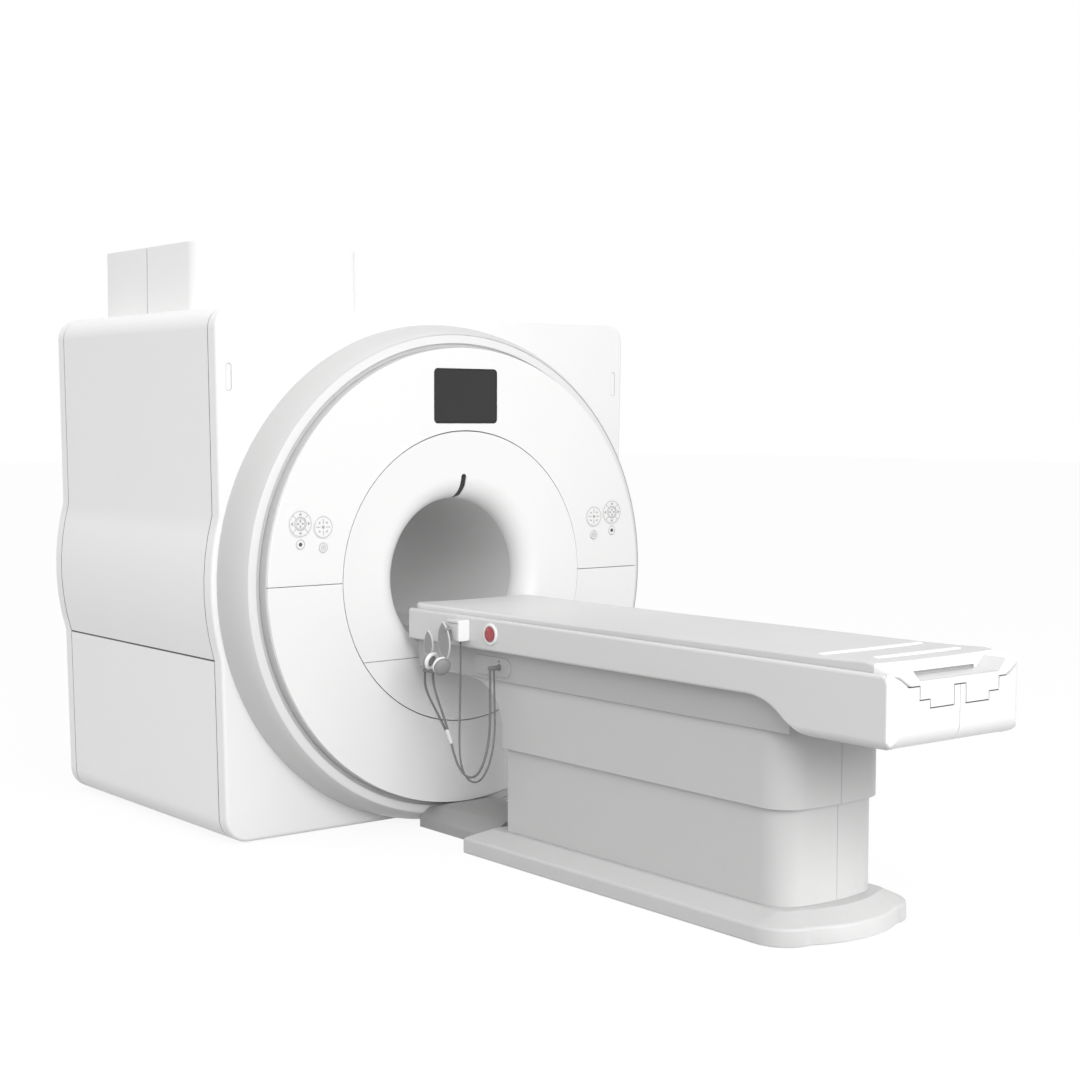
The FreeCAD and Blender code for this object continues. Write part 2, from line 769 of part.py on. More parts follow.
def make_ring():
    """Protruding ring with its dark groove, cut level just above the floor."""
    lip = "(ring_lip_radius - ring_lip_width)"
    profile = [
        ("ring_radius", "-front_reach"),
        (lip, "-front_reach"),
        (lip, "-front_reach - ring_reach"),
        ("ring_lip_radius", "-front_reach - ring_reach"),
    ]
    floor = box("ring_floor", ("-ring_radius", "ring_radius"),
                ("-front_reach - ring_reach - 1", "1 - front_reach"), ("-ring_radius", "cover_lift"))
    keep("bezel_ring", cut("ring", revolve("ring_turned", profile), [floor]))


def disc_profile():
    """The disc ends inside the ring's groove."""
    return [
        ("disc_radius", "-front_reach - disc_reach"),
        ("disc_radius", "-front_reach"),
        ("mouth_radius", "-front_reach"),
        ("mouth_radius", "-front_reach - disc_reach"),
    ]


def screen_outline(spare):
    half = f"screen_width / 2 + {spare}"
    low = f"screen_bottom - {spare}"
    high = f"screen_bottom + screen_height + {spare}"
    corner = f"screen_corner + {spare}"
    inner = "screen_width / 2 - screen_corner"
    return [
        (half, "screen_bottom + screen_corner", corner),
        (half, "screen_bottom + screen_height - screen_corner"),
        (inner, high, corner),
        (f"-({inner})", high),
        (f"-({half})", "screen_bottom + screen_height - screen_corner", corner),
        (f"-({half})", "screen_bottom + screen_corner"),
        (f"-({inner})", low, corner),
        (inner, low),
    ]


KEYS = {
    "pad_ring": ("big_pad_offset", "big_pad_height", "big_pad_radius"),
    "pad_small": ("small_pad_offset", "small_pad_height", "small_pad_radius"),
    "key_outer": ("big_pad_offset", "outer_key_height", "round_key_radius"),
    "key_inner": ("small_pad_offset", "inner_key_height", "round_key_radius"),
}


def make_disc():
    """White disc in an upper and a lower half; the upper one holds the screen and both key groups."""
    face = "-front_reach - disc_reach"
    wide = ("-disc_radius - 1", "disc_radius + 1")
    deep = (f"{face} - 1", "1 - front_reach")
    tools = [box("under_axis", wide, deep, ("bore_height - disc_radius - 1", "bore_height + fit")),
             extrude("screen_hole", "y", f"{face} - 1", f"{face} + screen_depth", screen_outline("fit"))]
    front = f"{face} - key_proud"
    for name, (offset, height, radius) in KEYS.items():
        for word, side in SIDES.items():
            centre = (on_side(side, offset), height)
            tools.append(prism(f"{name}_hole_{word}", "y", centre, f"{face} - 1",
                               f"{face} + key_depth + lap_gap", f"{radius} + fit"))
            key = prism(f"{name}_bar_{word}", "y", centre, front, f"{front} + key_depth", radius)
            if name == "pad_ring":
                core = prism(f"pad_core_{word}", "y", centre, f"{front} - 1",
                             f"{front} + key_depth + 1", "pad_centre_radius + fit")
                key = cut(f"pad_ring_{word}", key, [core])
                middle = prism(f"pad_middle_{word}", "y", centre, f"{front} - key_proud / 2",
                               f"{front} + key_depth", "pad_centre_radius")
                keep(f"pad_centre_{word}", middle)
            keep(f"{name}_{word}", key)
    keep("fascia_upper", cut("disc_upper", revolve("disc_up", disc_profile()), tools))
    over = box("over_axis", wide, deep, ("bore_height", "bore_height + disc_radius + 1"))
    keep("fascia_lower", cut("disc_lower", revolve("disc_low", disc_profile()), [over]))
    keep("display_screen", extrude("screen", "y", f"{face}", f"{face} + screen_depth", screen_outline("0")))


# %% Floor pieces

def make_floor_duct():
    """Domed cable fairing that rises from under the disc to the table's base plate."""
    front = "-front_reach - ring_reach - fit"
    back = "fit - base_gantry_end"
    rise = "(duct_crest - duct_front_crest)"
    side_view = extrude("duct_side_view", "x", "-duct_half_width", "duct_half_width", [
        (front, "0"),
        (front, "duct_front_crest"),
        (f"{front} - duct_rise_length", "duct_crest",
         f"(duct_rise_length ^ 2 + {rise} ^ 2) / (2 * {rise})"),
        (back, "duct_crest"),
        (back, "0"),
    ])
    dome = "(duct_crest - duct_side)"
    end_view = extrude("duct_end_view", "y", back, front, [
        ("duct_half_width", "0"),
        ("duct_half_width", "duct_side"),
        ("-duct_half_width", "duct_side", f"(duct_half_width ^ 2 + {dome} ^ 2) / (2 * {dome})"),
        ("-duct_half_width", "0"),
    ])
    keep("floor_duct", common("duct", side_view, end_view))


def base_outline(inset):
    """Outline of the base plate, drawn in by an inset: straight sides and a bowed foot end."""
    half = f"base_half_width - {inset}"
    corner = f"(base_corner - {inset})"
    foot = f"{inset} - base_foot_end"
    bow = "((base_half_width - base_corner) ^ 2 + base_end_bow ^ 2) / (2 * base_end_bow)"
    return [
        (half, f"-base_gantry_end - {inset}"),
        (f"-({half})", f"-base_gantry_end - {inset}"),
        (f"-({half})", f"{foot} + {corner}"),
        ("base_corner - base_half_width", foot, corner),
        ("base_half_width - base_corner", foot, bow),
        (half, f"{foot} + {corner}", corner),
    ]


def make_base_plate():
    plate = extrude("base_low", "z", "0", "base_edge", base_outline("0"))
    slope = loft("base_slope", [("base_edge", base_outline("0")), ("base_top", base_outline("base_slope"))])
    keep("base_plate", fuse("base", [plate, slope]))


# %% Pedestal

def tier_outline(half, gantry_end, foot_end, corner):
    """A tier from above: square gantry end, round corners and a bowed end at the foot."""
    chord = f"({half} - {corner})"
    bow = f"({chord} ^ 2 + end_bow ^ 2) / (2 * end_bow)"
    return [
        (half, f"-({gantry_end})"),
        (f"-({half})", f"-({gantry_end})"),
        (f"-({half})", f"{corner} - ({foot_end})"),
        (f"-{chord}", f"-({foot_end})", corner),
        (chord, f"-({foot_end})", bow),
        (half, f"{corner} - ({foot_end})", corner),
    ]


def tier_inside(tier):
    """The outline inside a tier's walls."""
    return tier_outline(f"({tier}_half_width - tier_wall)", f"{tier}_gantry_end + tier_wall",
                        f"{tier}_foot_end - tier_wall", "(tier_corner - tier_wall)")


def other_side(name, side, low, high):
    """A block over the other half of a tier, up to half the seam's gap past the middle."""
    return box(name, across(-side, "-fit / 2", "panel_half_width"),
               ("-cradle_foot_end", "-table_gantry_end"), (f"{low} - 1", f"{high} + 1"))


def make_lower_covers():
    """Fixed tier: two half shells that meet at the middle plane."""
    for word, side in SIDES.items():
        shell = extrude(f"lower_{word}", "z", "base_top", "lower_top", tier_outline(
            "lower_half_width", "lower_gantry_end", "lower_foot_end", "tier_corner"))
        inside = extrude(f"lower_inside_{word}", "z", "base_top - 1", "lower_top + 1", tier_inside("lower"))
        rest = other_side(f"lower_rest_{word}", side, "base_top", "lower_top")
        keep(f"lower_cover_{word}", cut(f"lower_{word}", shell, [inside, rest]))


def make_middle_covers():
    """Lifting tier: half shells whose gantry end sweeps out in an arch under the skirt."""
    for word, side in SIDES.items():
        plan = extrude(f"middle_plan_{word}", "z", "middle_bottom", "middle_top", tier_outline(
            "middle_half_width", "arch_reach", "middle_foot_end", "tier_corner"))
        side_view = extrude(f"middle_side_{word}", "x", "-middle_half_width - 1", "middle_half_width + 1", [
            ("-middle_gantry_end", "middle_bottom - 1"),
            ("-middle_gantry_end", "arch_spring"),
            ("arch_radius - middle_gantry_end", "arch_spring + arch_radius", "-arch_radius"),
            ("1 - arch_reach", "skirt_bottom"),
            ("1 - arch_reach", "middle_top + 1"),
            ("-middle_foot_end - end_bow * 2", "middle_top + 1"),
            ("-middle_foot_end - end_bow * 2", "middle_bottom - 1"),
        ])
        shell = common(f"middle_shell_{word}", plan, side_view)
        inside = extrude(f"middle_inside_{word}", "z", "middle_bottom - 1", "middle_top - tier_wall",
                         tier_inside("middle"))
        edge = "middle_half_width - middle_rim"
        opening = box(f"middle_opening_{word}", (f"-({edge})", edge),
                      ("middle_rim - middle_foot_end", "-middle_gantry_end - middle_rim"),
                      ("middle_bottom", "middle_top + 1"))
        rest = other_side(f"middle_rest_{word}", side, "middle_bottom", "middle_top")
        keep(f"middle_cover_{word}", cut(f"middle_{word}", shell, [inside, opening, rest]))


def column_tube(name, shrink, low, high):
    """One stage of the telescopic column."""
    half = f"column_half_width - ({shrink})"
    ends = (f"({shrink}) - column_foot_end", f"-column_gantry_end - ({shrink})")
    stage = box(f"{name}_outside", (f"-({half})", half), ends, (low, high))
    inner = f"column_half_width - ({shrink}) - column_wall"
    hole = box(f"{name}_hole", (f"-({inner})", inner),
               (f"{ends[0]} + column_wall", f"{ends[1]} - column_wall"), (f"{low} - 1", f"{high} + 1"))
    return stage, hole


def make_columns():
    """Three stages that slide in each other: on the base, under the middle covers, under the deck."""
    stage, hole = column_tube("column_outer", "0", "base_top", "outer_column_top")
    keep("column_outer", cut("outer", stage, [hole]))
    step = "column_wall + fit"
    stage, hole = column_tube("column_middle", step, "middle_column_bottom", "middle_top - tier_wall")
    half = "middle_half_width - tier_wall - fit"
    flange = box("column_flange", (f"-({half})", half),
                 ("tier_wall + fit + tier_corner - middle_foot_end", "-middle_gantry_end - tier_wall - fit"),
                 ("middle_column_top", "middle_top - tier_wall"))
    keep("column_middle", cut("middle", fuse("middle_whole", [stage, flange]), [hole]))
    stage, hole = column_tube("column_inner", f"2 * ({step})", "inner_column_bottom", "deck_bottom")
    keep("column_inner", cut("inner", stage, [hole]))


def make_skirt():
    """Deep frame under the table top that hides the lifting tier."""
    half = "skirt_half_width"
    wall = "skirt_wall"
    outside = box("skirt_outside", (f"-{half}", half), ("-skirt_foot_end", "-skirt_gantry_end"),
                  ("skirt_bottom", "deck_bottom"))
    inside = box("skirt_inside", (f"{wall} - {half}", f"{half} - {wall}"),
                 (f"{wall} - skirt_foot_end", f"-skirt_gantry_end - {wall}"),
                 ("skirt_bottom - 1", "deck_bottom + 1"))
    keep("upper_skirt", cut("skirt", outside, [inside]))


# %% Table top and cradle

def cradle_section(spare, top):
    """The cradle's stepped underside, lowered and widened by a gap, and closed at a height."""
    right = [
        (f"groove_half_width - {spare}", f"groove_top - {spare}"),
        (f"groove_half_width - {spare}", f"cradle_bottom - {spare}"),
        (f"keel_half_width + {spare}", f"cradle_bottom - {spare}"),
        (f"keel_half_width + {spare}", f"first_step - {spare}"),
        (f"first_step_half_width + {spare}", f"first_step - {spare}"),
        (f"first_step_half_width + {spare}", f"second_step - {spare}"),
        (f"second_step_half_width + {spare}", f"second_step - {spare}"),
        (f"cradle_half_width + {spare}", f"rim_under - {spare}"),
        (f"cradle_half_width + {spare}", top),
    ]
    left = [(f"-({x})", z) for x, z in reversed(right)]
    return right + left


def make_table_frame():
    """Deck that the cradle runs on: bed, middle rail and two side rails."""
    bed = "cradle_bottom - fit"
    edge = "skirt_half_width"
    rail_out = "second_step_half_width - lap_gap"
    rail_in = "first_step_half_width + lap_gap"
    rail_top = "second_step - lap_gap"
    middle = "groove_half_width - lap_gap"
    middle_top = "groove_top - lap_gap"
    right = [
        (edge, "deck_bottom"), (edge, bed), (rail_out, bed), (rail_out, rail_top),
        (rail_in, rail_top), (rail_in, bed), (middle, bed), (middle, middle_top),
    ]
    left = [(f"-({x})", z) for x, z in reversed(right)]
    keep("table_frame", extrude("deck", "y", "fit - panel_foot_end", "-table_gantry_end", right + left))


def make_side_panels():
    """Long side panels: a wall with an inner flange, and the deeper end with its S-curve."""
    low = "-panel_foot_end"
    inner = "skirt_half_width + fit"
    for word, side in SIDES.items():
        section = [
            (on_side(side, inner), "panel_bottom"),
            (on_side(side, "panel_half_width"), "panel_bottom"),
            (on_side(side, "panel_half_width"), "panel_top"),
            (on_side(side, "panel_half_width - panel_wall"), "panel_top"),
            (on_side(side, "panel_half_width - panel_wall"), "flange_top"),
            (on_side(side, inner), "flange_top"),
        ]
        body = extrude(f"panel_{word}", "y", low, "-table_gantry_end", section)
        fall = "(panel_bottom - panel_dip_bottom) / 2"
        run = "(panel_dip_end - panel_dip_start) / 2"
        bend = f"(({run}) ^ 2 + ({fall}) ^ 2) / (2 * ({fall}))"
        dip = [
            ("-panel_dip_start", "panel_bottom"),
            (f"-panel_dip_start - {run}", f"panel_bottom - {fall}", f"-({bend})"),
            ("-panel_dip_end", "panel_dip_bottom", bend),
            (low, "panel_dip_bottom"),
            (low, "panel_bottom"),
        ]
        extrude(f"panel_dip_{word}", "x", *across(side, inner, "panel_half_width"), dip, body)
        keep(f"side_panel_{word}", body)


def make_end_covers():
    """Foot end of the table, in two halves, cut to the cradle's stepped underside."""
    foot = "-cradle_foot_end"
    for word, side in SIDES.items():
        seam = on_side(side, "fit / 2")
        plan = extrude(f"end_plan_{word}", "z", "panel_dip_bottom", "end_top", [
            (seam, "-panel_foot_end - fit"),
            (seam, foot),
            (on_side(side, "panel_half_width - end_corner"), foot),
            (on_side(side, "panel_half_width"), "-panel_foot_end - fit",
             f"{side} * end_corner * 0.95"),
        ])
        edge = "end_bottom_round"
        thick = "(cradle_foot_end - panel_foot_end)"
        side_view = extrude(f"end_side_{word}", "x", *across(side, "0", "panel_half_width + 1"), [
            ("1 - panel_foot_end", "panel_dip_bottom"),
            (f"{foot} + {thick} * 0.9", "panel_dip_bottom"),
            (foot, f"panel_dip_bottom + {edge}", f"-{edge}"),
            (foot, "end_top + 1"),
            ("1 - panel_foot_end", "end_top + 1"),
        ])
        block = common(f"end_block_{word}", plan, side_view)
        tool = extrude(f"end_tool_{word}", "y", f"{foot} - 1", "1 - panel_foot_end",
                       cradle_section("end_gap", "end_top + 2"))
        keep(f"end_cover_{word}", cut(f"end_{word}", block, [tool]))


def cradle_plan():
    """The cradle from above: the gantry end has large round corners."""
    return [
        ("cradle_half_width", "-cradle_gantry_end - cradle_corner"),
        ("cradle_half_width - cradle_corner", "-cradle_gantry_end", "cradle_corner"),
        ("cradle_corner - cradle_half_width", "-cradle_gantry_end"),
        ("-cradle_half_width", "-cradle_gantry_end - cradle_corner", "cradle_corner"),
        ("-cradle_half_width", "-cradle_foot_end"),
        ("cradle_half_width", "-cradle_foot_end"),
    ]


def make_cradle():
    """Sliding board: stepped underside, shallow trough, raised foot end with a handle scoop."""
    high = "rim_height + rise_height"
    board = extrude("cradle_board", "y", "-cradle_foot_end", "-cradle_gantry_end",
                    cradle_section("0", high))
    plan = extrude("cradle_plan", "z", "cradle_bottom - 1", f"{high} + 1", cradle_plan())
    side_view = extrude("cradle_side_view", "x", "-cradle_half_width - 1", "cradle_half_width + 1", [
        ("1 - cradle_gantry_end", "cradle_bottom - 1"),
        ("1 - cradle_gantry_end", "rim_height"),
        ("-rise_start", "rim_height"),
        ("-rise_peak", high),
        ("-cradle_foot_end", "end_top - cover_wall"),
        ("-cradle_foot_end", "cradle_bottom - 1"),
    ])
    half = "(cradle_half_width - rim_width)"
    trough_bend = f"({half} ^ 2 + trough_depth ^ 2) / (2 * trough_depth)"
    trough = extrude("cradle_trough", "y", "-rise_start", "1 - cradle_gantry_end", [
        (half, f"{high} + 1"),
        (f"-{half}", f"{high} + 1"),
        (f"-{half}", "rim_height"),
        (half, "rim_height", trough_bend),
    ])
    scoop = extrude("cradle_scoop", "x", "-scoop_half_width", "scoop_half_width", [
        ("-cradle_foot_end - 1", "scoop_floor"),
        ("-cradle_foot_end - 1", f"{high} + 1"),
        ("-cradle_foot_end + scoop_length * 0.7", f"{high} + 1"),
        ("-cradle_foot_end + scoop_length", "scoop_floor"),
    ])
    shaped = common("cradle_shaped", common("cradle_rounded", board, plan), side_view)
    keep("cradle", cut("cradle", shaped, [trough, scoop]))


# %% Fittings on the table's near side

def make_stop():
    """Emergency stop: white ring on the panel and red push button."""
    wall = "-panel_half_width"
    centre = ("-stop_place", "stop_height")
    ring = prism("ring_bar", "x", centre, f"{wall} - stop_ring_depth", wall, "stop_ring_radius")
    hole = prism("ring_hole", "x", centre, f"{wall} - stop_ring_depth - 1", f"{wall} + 1",
                    "stop_stem_radius + fit")
    keep("stop_ring", cut("ring_cut", ring, [hole]))
    cap_face = f"{wall} - stop_reach"
    cap = prism("stop_cap", "x", centre, cap_face, f"{wall} - stop_ring_depth - stop_travel - fit",
                   "stop_radius")
    stem = prism("stop_stem", "x", centre, f"{cap_face} + 1", f"{wall} - fit", "stop_stem_radius")
    keep("stop_button", fuse("stop", [cap, stem]))
    well = prism("stop_well", "x", centre, f"{wall} - 1", f"{wall} + panel_wall - 1",
                    "stop_stem_radius + fit")
    keep("side_panel_left", cut("side_panel", nodes["side_panel_left"], [well]))


def make_outlet():
    """Oval plate on the skirt, with the elbow that both hoses leave by."""
    wall = "-skirt_half_width"
    reach = "(outlet_half_length - outlet_radius)"
    plate = extrude("outlet", "x", f"{wall} - outlet_depth", wall, [
        (f"{reach} - outlet_place", "outlet_height - outlet_radius"),
        (f"{reach} - outlet_place", "outlet_height + outlet_radius", "outlet_radius"),
        (f"-{reach} - outlet_place", "outlet_height + outlet_radius"),
        (f"-{reach} - outlet_place", "outlet_height - outlet_radius", "outlet_radius"),
    ])
    spout = prism("spout", "x", ("-spout_place", "outlet_height"), f"{wall} - spout_reach",
                     f"{wall} - outlet_depth / 2", "spout_radius")
    keep("outlet_plate", fuse("outlet_whole", [plate, spout]))


def make_hook():
    """Hook box on the side panel, with the peg that the headset hangs on."""
    half = "hook_width / 2"
    block = box("hook_block", ("-hook_reach", "-panel_half_width"),
                (f"-hook_place - {half}", f"{half} - hook_place"), ("hook_bottom", "hook_top"))
    peg = prism("hook_peg", "x", ("-peg_place", "peg_height"), "-hook_reach - peg_reach",
                   "1 - hook_reach", "peg_radius")
    keep("hook_box", fuse("hook", [block, peg]))


def make_headset():
    """Hearing protector: two cups, two leaf-shaped arms and the fitting of its two air hoses."""
    near_face = "-headset_offset - arm_thickness / 2"
    far_face = "arm_thickness / 2 - headset_offset"
    near = prism("near_cup", "x", ("-near_cup_place", "near_cup_height"), f"{near_face} - cup_depth",
                    far_face, "cup_radius")
    far = prism("far_cup", "x", ("-far_cup_place", "far_cup_height"), near_face,
                   f"{far_face} + cup_depth", "cup_radius")
    leaf_bend = "cup_radius * 3"
    near_arm = extrude("near_arm", "x", near_face, far_face, [
        ("-near_cup_place - cup_radius * 0.9", "near_cup_height"),
        ("-peg_place + cup_radius", "peg_height + cup_radius * 0.7", f"-({leaf_bend})"),
        ("-near_cup_place + cup_radius * 0.3", "near_cup_height", f"-({leaf_bend})"),
    ])
    far_arm = extrude("far_arm", "x", near_face, far_face, [
        ("-far_cup_place - cup_radius * 0.6", "far_cup_height"),
        ("-far_cup_place + cup_radius * 0.2", "far_cup_height + cup_radius * 3.2", f"-({leaf_bend})"),
        ("-far_cup_place + cup_radius * 0.8", "far_cup_height", f"-({leaf_bend})"),
    ])
    bridge = box("cup_bridge", (near_face, far_face), ("-near_cup_place", "-far_cup_place"),
                 ("far_cup_height - cup_radius * 0.8", "far_cup_height - cup_radius * 0.2"))
    fitting = box("hose_fitting", (near_face, far_face),
                  ("-far_cup_place - cup_radius", "-far_cup_place - cup_radius + fitting_width"),
                  ("fitting_bottom", "fitting_bottom + fitting_thickness"))
    whole = fuse("headset_whole", [near, far, near_arm, far_arm, bridge, fitting])
    hole = prism("peg_hole", "x", ("-peg_place", "peg_height"), f"{near_face} - 1", f"{far_face} + 1",
                    "peg_radius + fit")
    keep("headset", cut("headset_cut", whole, [hole]))


# %% Hoses

HOSE_SIDES = 6
# Routes, in distances from the peg that the headset hangs on: to the right, into the bore and up.
SPLITTER_TOP = (0, -2, -389.5)
SPLITTER_BOTTOM = (0, -32, -440)
HOSES = {
    "tube_far": ("hose_radius", [
        (0, 145, -177), (0, 150, -215), (0, 134, -258),
        (0, 82, -314), (0, 35, -360), (0, 3, -397),
    ]),
    "tube_near": ("hose_radius", [
        (0, 94, -177), (0, 89, -220), (0, 65, -270),
        (0, 26, -332), (0, -8, -391),
    ]),
    "tube_main": ("hose_radius", [
        (0, -30, -437), (0, -45, -474), (0, -81, -528),
        (2, -135, -558), (8, -182, -545), (24, -204, -498), (45, -205, -435),
        (62, -195, -360), (70, -186, -270), (70, -184, -143),
    ]),
    "call_tube": ("call_hose_radius", [
        (50, -23, -44), (49, -24, -125), (46, -27, -210), (40, -31, -310),
        (30, -42, -420), (23, -55, -500), (20, -84, -552), (18, -133, -577),
        (20, -186, -567), (34, -217, -518), (55, -221, -450), (76, -209, -370),
        (86, -192, -270), (89, -184, -143),
    ]),
}


def from_peg(place):
    """A point of a hose's route in the model's frame."""
    return V(-value("headset_offset"), -value("peg_place"), value("peg_height")) + V(*place)


def facets(centre, along, radius):
    """Corners of a hose's section, on a plane across its line."""
    corners = [along.cross(V(1, 0, 0)).normalize() * radius]
    turn = FreeCAD.Rotation(along, 360 / HOSE_SIDES)
    for _ in range(HOSE_SIDES - 1):
        corners.append(turn.multVec(corners[-1]))
    return Part.makePolygon([centre + corner for corner in corners + corners[:1]])


def hose(name, radius, points):
    """A round hose along straight runs with arcs at their corners, each as large as its runs allow."""
    share = 0.45
    edges = []
    radii = []
    start = points[0]
    for before, corner, after in zip(points, points[1:], points[2:]):
        come = corner - before
        leave = after - corner
        half_turn = come.getAngle(leave) / 2
        reach = share * min(come.Length, leave.Length)
        radii.append(round(reach / math.tan(half_turn)))
        first = corner - come.normalize() * reach
        last = corner + leave.normalize() * reach
        inward = (leave - come).normalize()
        depth = reach / math.tan(half_turn) * (1 / math.cos(half_turn) - 1)
        edges.append(Part.LineSegment(start, first).toShape())
        edges.append(Part.Arc(first, corner + inward * depth, last).toShape())
        start = last
    edges.append(Part.LineSegment(start, points[-1]).toShape())
    path = Part.Wire(edges)
    ring = facets(points[0], (points[1] - points[0]).normalize(), radius)
    tube = path.makePipeShell([ring], True, False)
    expected = Part.Face(ring).Area * path.Length
    print(name, "bend radii", radii, "volume over section times length", round(tube.Volume / expected, 4))
    return tube


def make_hoses():
    """Air hoses from the headset through the splitter to the outlet, and the call hose."""
    top = from_peg(SPLITTER_TOP)
    axis = from_peg(SPLITTER_BOTTOM) - top
    section = Part.Face(facets(top, V(axis).normalize(), value("splitter_radius")))
    keep("y_piece", from_code("splitter", section.extrude(axis)))
    for name, (radius, places) in HOSES.items():
        points = [from_peg(place) for place in places]
        keep(name, from_code(f"{name}_path", hose(name, value(radius), points)))


PIECES = [
    make_front_cover, make_rear_cover, make_side_covers, make_top_cover, make_turret, make_magnet_frame,
    make_vessel, make_bore, make_mouths, make_ring, make_disc, make_floor_duct, make_base_plate,
    make_lower_covers, make_middle_covers, make_columns, make_skirt, make_table_frame, make_side_panels,
    make_end_covers, make_cradle, make_stop, make_outlet, make_hook, make_headset, make_hoses,
]


def check(items):
    """Stops when a step of the model has failed, or a finished piece isn't one sound solid."""
    failed = [item.Name for item in items if {"Invalid", "Error"} & set(item.State)]
    assert not failed, failed
    for name, item in nodes.items():
        shape = item.Shape
        assert not shape.isNull() and shape.isValid() and shape.Volume > 0, name


for make in PIECES:
    make()
doc.recompute()
check(doc.Objects)
os.makedirs("parts", exist_ok=True)
for name, item in nodes.items():
    item.Shape.exportStep(f"parts/{name}.step")
    print(name, len(item.Shape.Solids), round(item.Shape.Volume / 1e6, 3), "litres")
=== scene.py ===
# %% [markdown]
# # MRI scanner
# A magnet in moulded covers with a 64 cm bore, and the patient table that feeds it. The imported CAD
# model is the fixed frame. This lesson dresses it: hoses first, then finishes, then the pieces
# whose rounded forms the plain solids can't show. Everything is in metres and in the frame of the
# CAD.

# %% The frame
import math

import bmesh
import bpy
from mathutils import Matrix, Vector, geometry


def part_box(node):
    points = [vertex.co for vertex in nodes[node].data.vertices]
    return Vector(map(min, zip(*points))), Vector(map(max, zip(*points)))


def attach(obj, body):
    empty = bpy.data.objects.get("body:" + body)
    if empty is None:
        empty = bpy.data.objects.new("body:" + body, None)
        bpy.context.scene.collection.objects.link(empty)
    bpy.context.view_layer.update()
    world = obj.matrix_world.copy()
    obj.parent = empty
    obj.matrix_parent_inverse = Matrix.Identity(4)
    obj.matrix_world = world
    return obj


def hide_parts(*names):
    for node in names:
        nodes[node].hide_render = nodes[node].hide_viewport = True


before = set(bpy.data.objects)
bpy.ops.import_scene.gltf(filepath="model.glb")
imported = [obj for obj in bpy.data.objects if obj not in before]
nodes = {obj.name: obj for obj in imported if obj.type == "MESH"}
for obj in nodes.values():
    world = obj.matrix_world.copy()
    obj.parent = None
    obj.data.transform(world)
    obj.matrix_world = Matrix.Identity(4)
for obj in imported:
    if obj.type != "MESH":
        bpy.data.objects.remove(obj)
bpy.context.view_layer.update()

scene = bpy.context.scene

# %% [markdown]
# ## Camera
# The photograph was taken from beside the table's foot, at eye height. A camera can be moved by eye
# until the picture looks right, but then no size can be read from it. Here its lens, place and
# direction were worked out from straight edges of the covers, so that the render can be laid over
# the photograph.

# %% Camera
SENSOR_WIDTH = 36
FOCAL_LENGTH = 61.4
CAMERA_PLACE = (-4.4945, -7.0411, 1.6751)
YAW, PITCH, ROLL = (math.radians(angle) for angle in (38.57, -3.73, 0.16))
camera_data = bpy.data.cameras.new("camera")
camera_data.sensor_width = SENSOR_WIDTH
camera_data.lens = FOCAL_LENGTH
camera_data.clip_end = 100
camera = bpy.data.objects.new("camera", camera_data)
scene.collection.objects.link(camera)
scene.camera = camera
camera.location = CAMERA_PLACE
turned_left, tilted, rolled = (Matrix.Rotation(angle, 3, axis) for angle, axis in (
    (-YAW, "Z"), (math.pi / 2 + PITCH, "X"), (ROLL, "Z")))
camera.rotation_euler = (turned_left @ tilted @ rolled).to_euler()
print("camera:", FOCAL_LENGTH, "mm at", CAMERA_PLACE)

# %% [markdown]
# ## Hoses
# Two thin air hoses leave the headset, join in a splitter and go on as one hose to the outlet under
# the table. A thinner hose comes down from the hook box and makes the same loop. A hose could be
# swept along short straight runs, but it would look like bent wire. Each of these is a NURBS curve
# through the route of its solid, so that it bends without kinks. The splines come before all else,
# because a hose that spreads too far would have to move in the CAD first.

# %% Hose routes
HOSES = {
    "tube_far": (0.0045, [
        (-.380, -1.162, .693), (-.380, -1.157, .655), (-.380, -1.173, .612), (-.380, -1.225, .556),
        (-.380, -1.272, .510), (-.380, -1.304, .473),
    ]),
    "tube_near": (0.0045, [
        (-.380, -1.213, .693), (-.380, -1.218, .650), (-.380, -1.242, .600), (-.380, -1.281, .538),
        (-.380, -1.315, .479),
    ]),
    "tube_main": (0.0045, [
        (-.380, -1.337, .433), (-.380, -1.352, .396), (-.380, -1.388, .342), (-.378, -1.442, .312),
        (-.372, -1.489, .325), (-.356, -1.511, .372), (-.335, -1.512, .435), (-.318, -1.502, .510),
        (-.310, -1.493, .600), (-.310, -1.491, .727),
    ]),
    "call_tube": (0.0035, [
        (-.330, -1.330, .826), (-.331, -1.331, .745), (-.334, -1.334, .660), (-.340, -1.338, .560),
        (-.350, -1.349, .450), (-.357, -1.362, .370), (-.360, -1.391, .318), (-.362, -1.440, .293),
        (-.360, -1.493, .303), (-.346, -1.524, .352), (-.325, -1.528, .420), (-.304, -1.516, .500),
        (-.294, -1.499, .600), (-.291, -1.491, .727),
    ]),
}
print("hose routes:", {name: len(points) for name, (radius, points) in HOSES.items()})

# %% Hose curves


def hose(name, radius, points):
    """A round hose along a smooth spline whose control points are the route's points."""
    curve = bpy.data.curves.new(name, "CURVE")
    curve.dimensions = "3D"
    spline = curve.splines.new("NURBS")
    spline.points.add(len(points) - 1)
    for control, place in zip(spline.points, points):
        control.co = (*place, 1)
    spline.order_u = 3
    spline.use_endpoint_u = True
    spline.resolution_u = 10
    curve.bevel_depth = radius
    curve.bevel_resolution = 3
    curve.use_fill_caps = True
    piece = bpy.data.objects.new(name, curve)
    scene.collection.objects.link(piece)
    return piece


hoses = {name: hose(f"hose_{name}", *route) for name, route in HOSES.items()}
print("hoses:", ", ".join(made.name for made in hoses.values()))

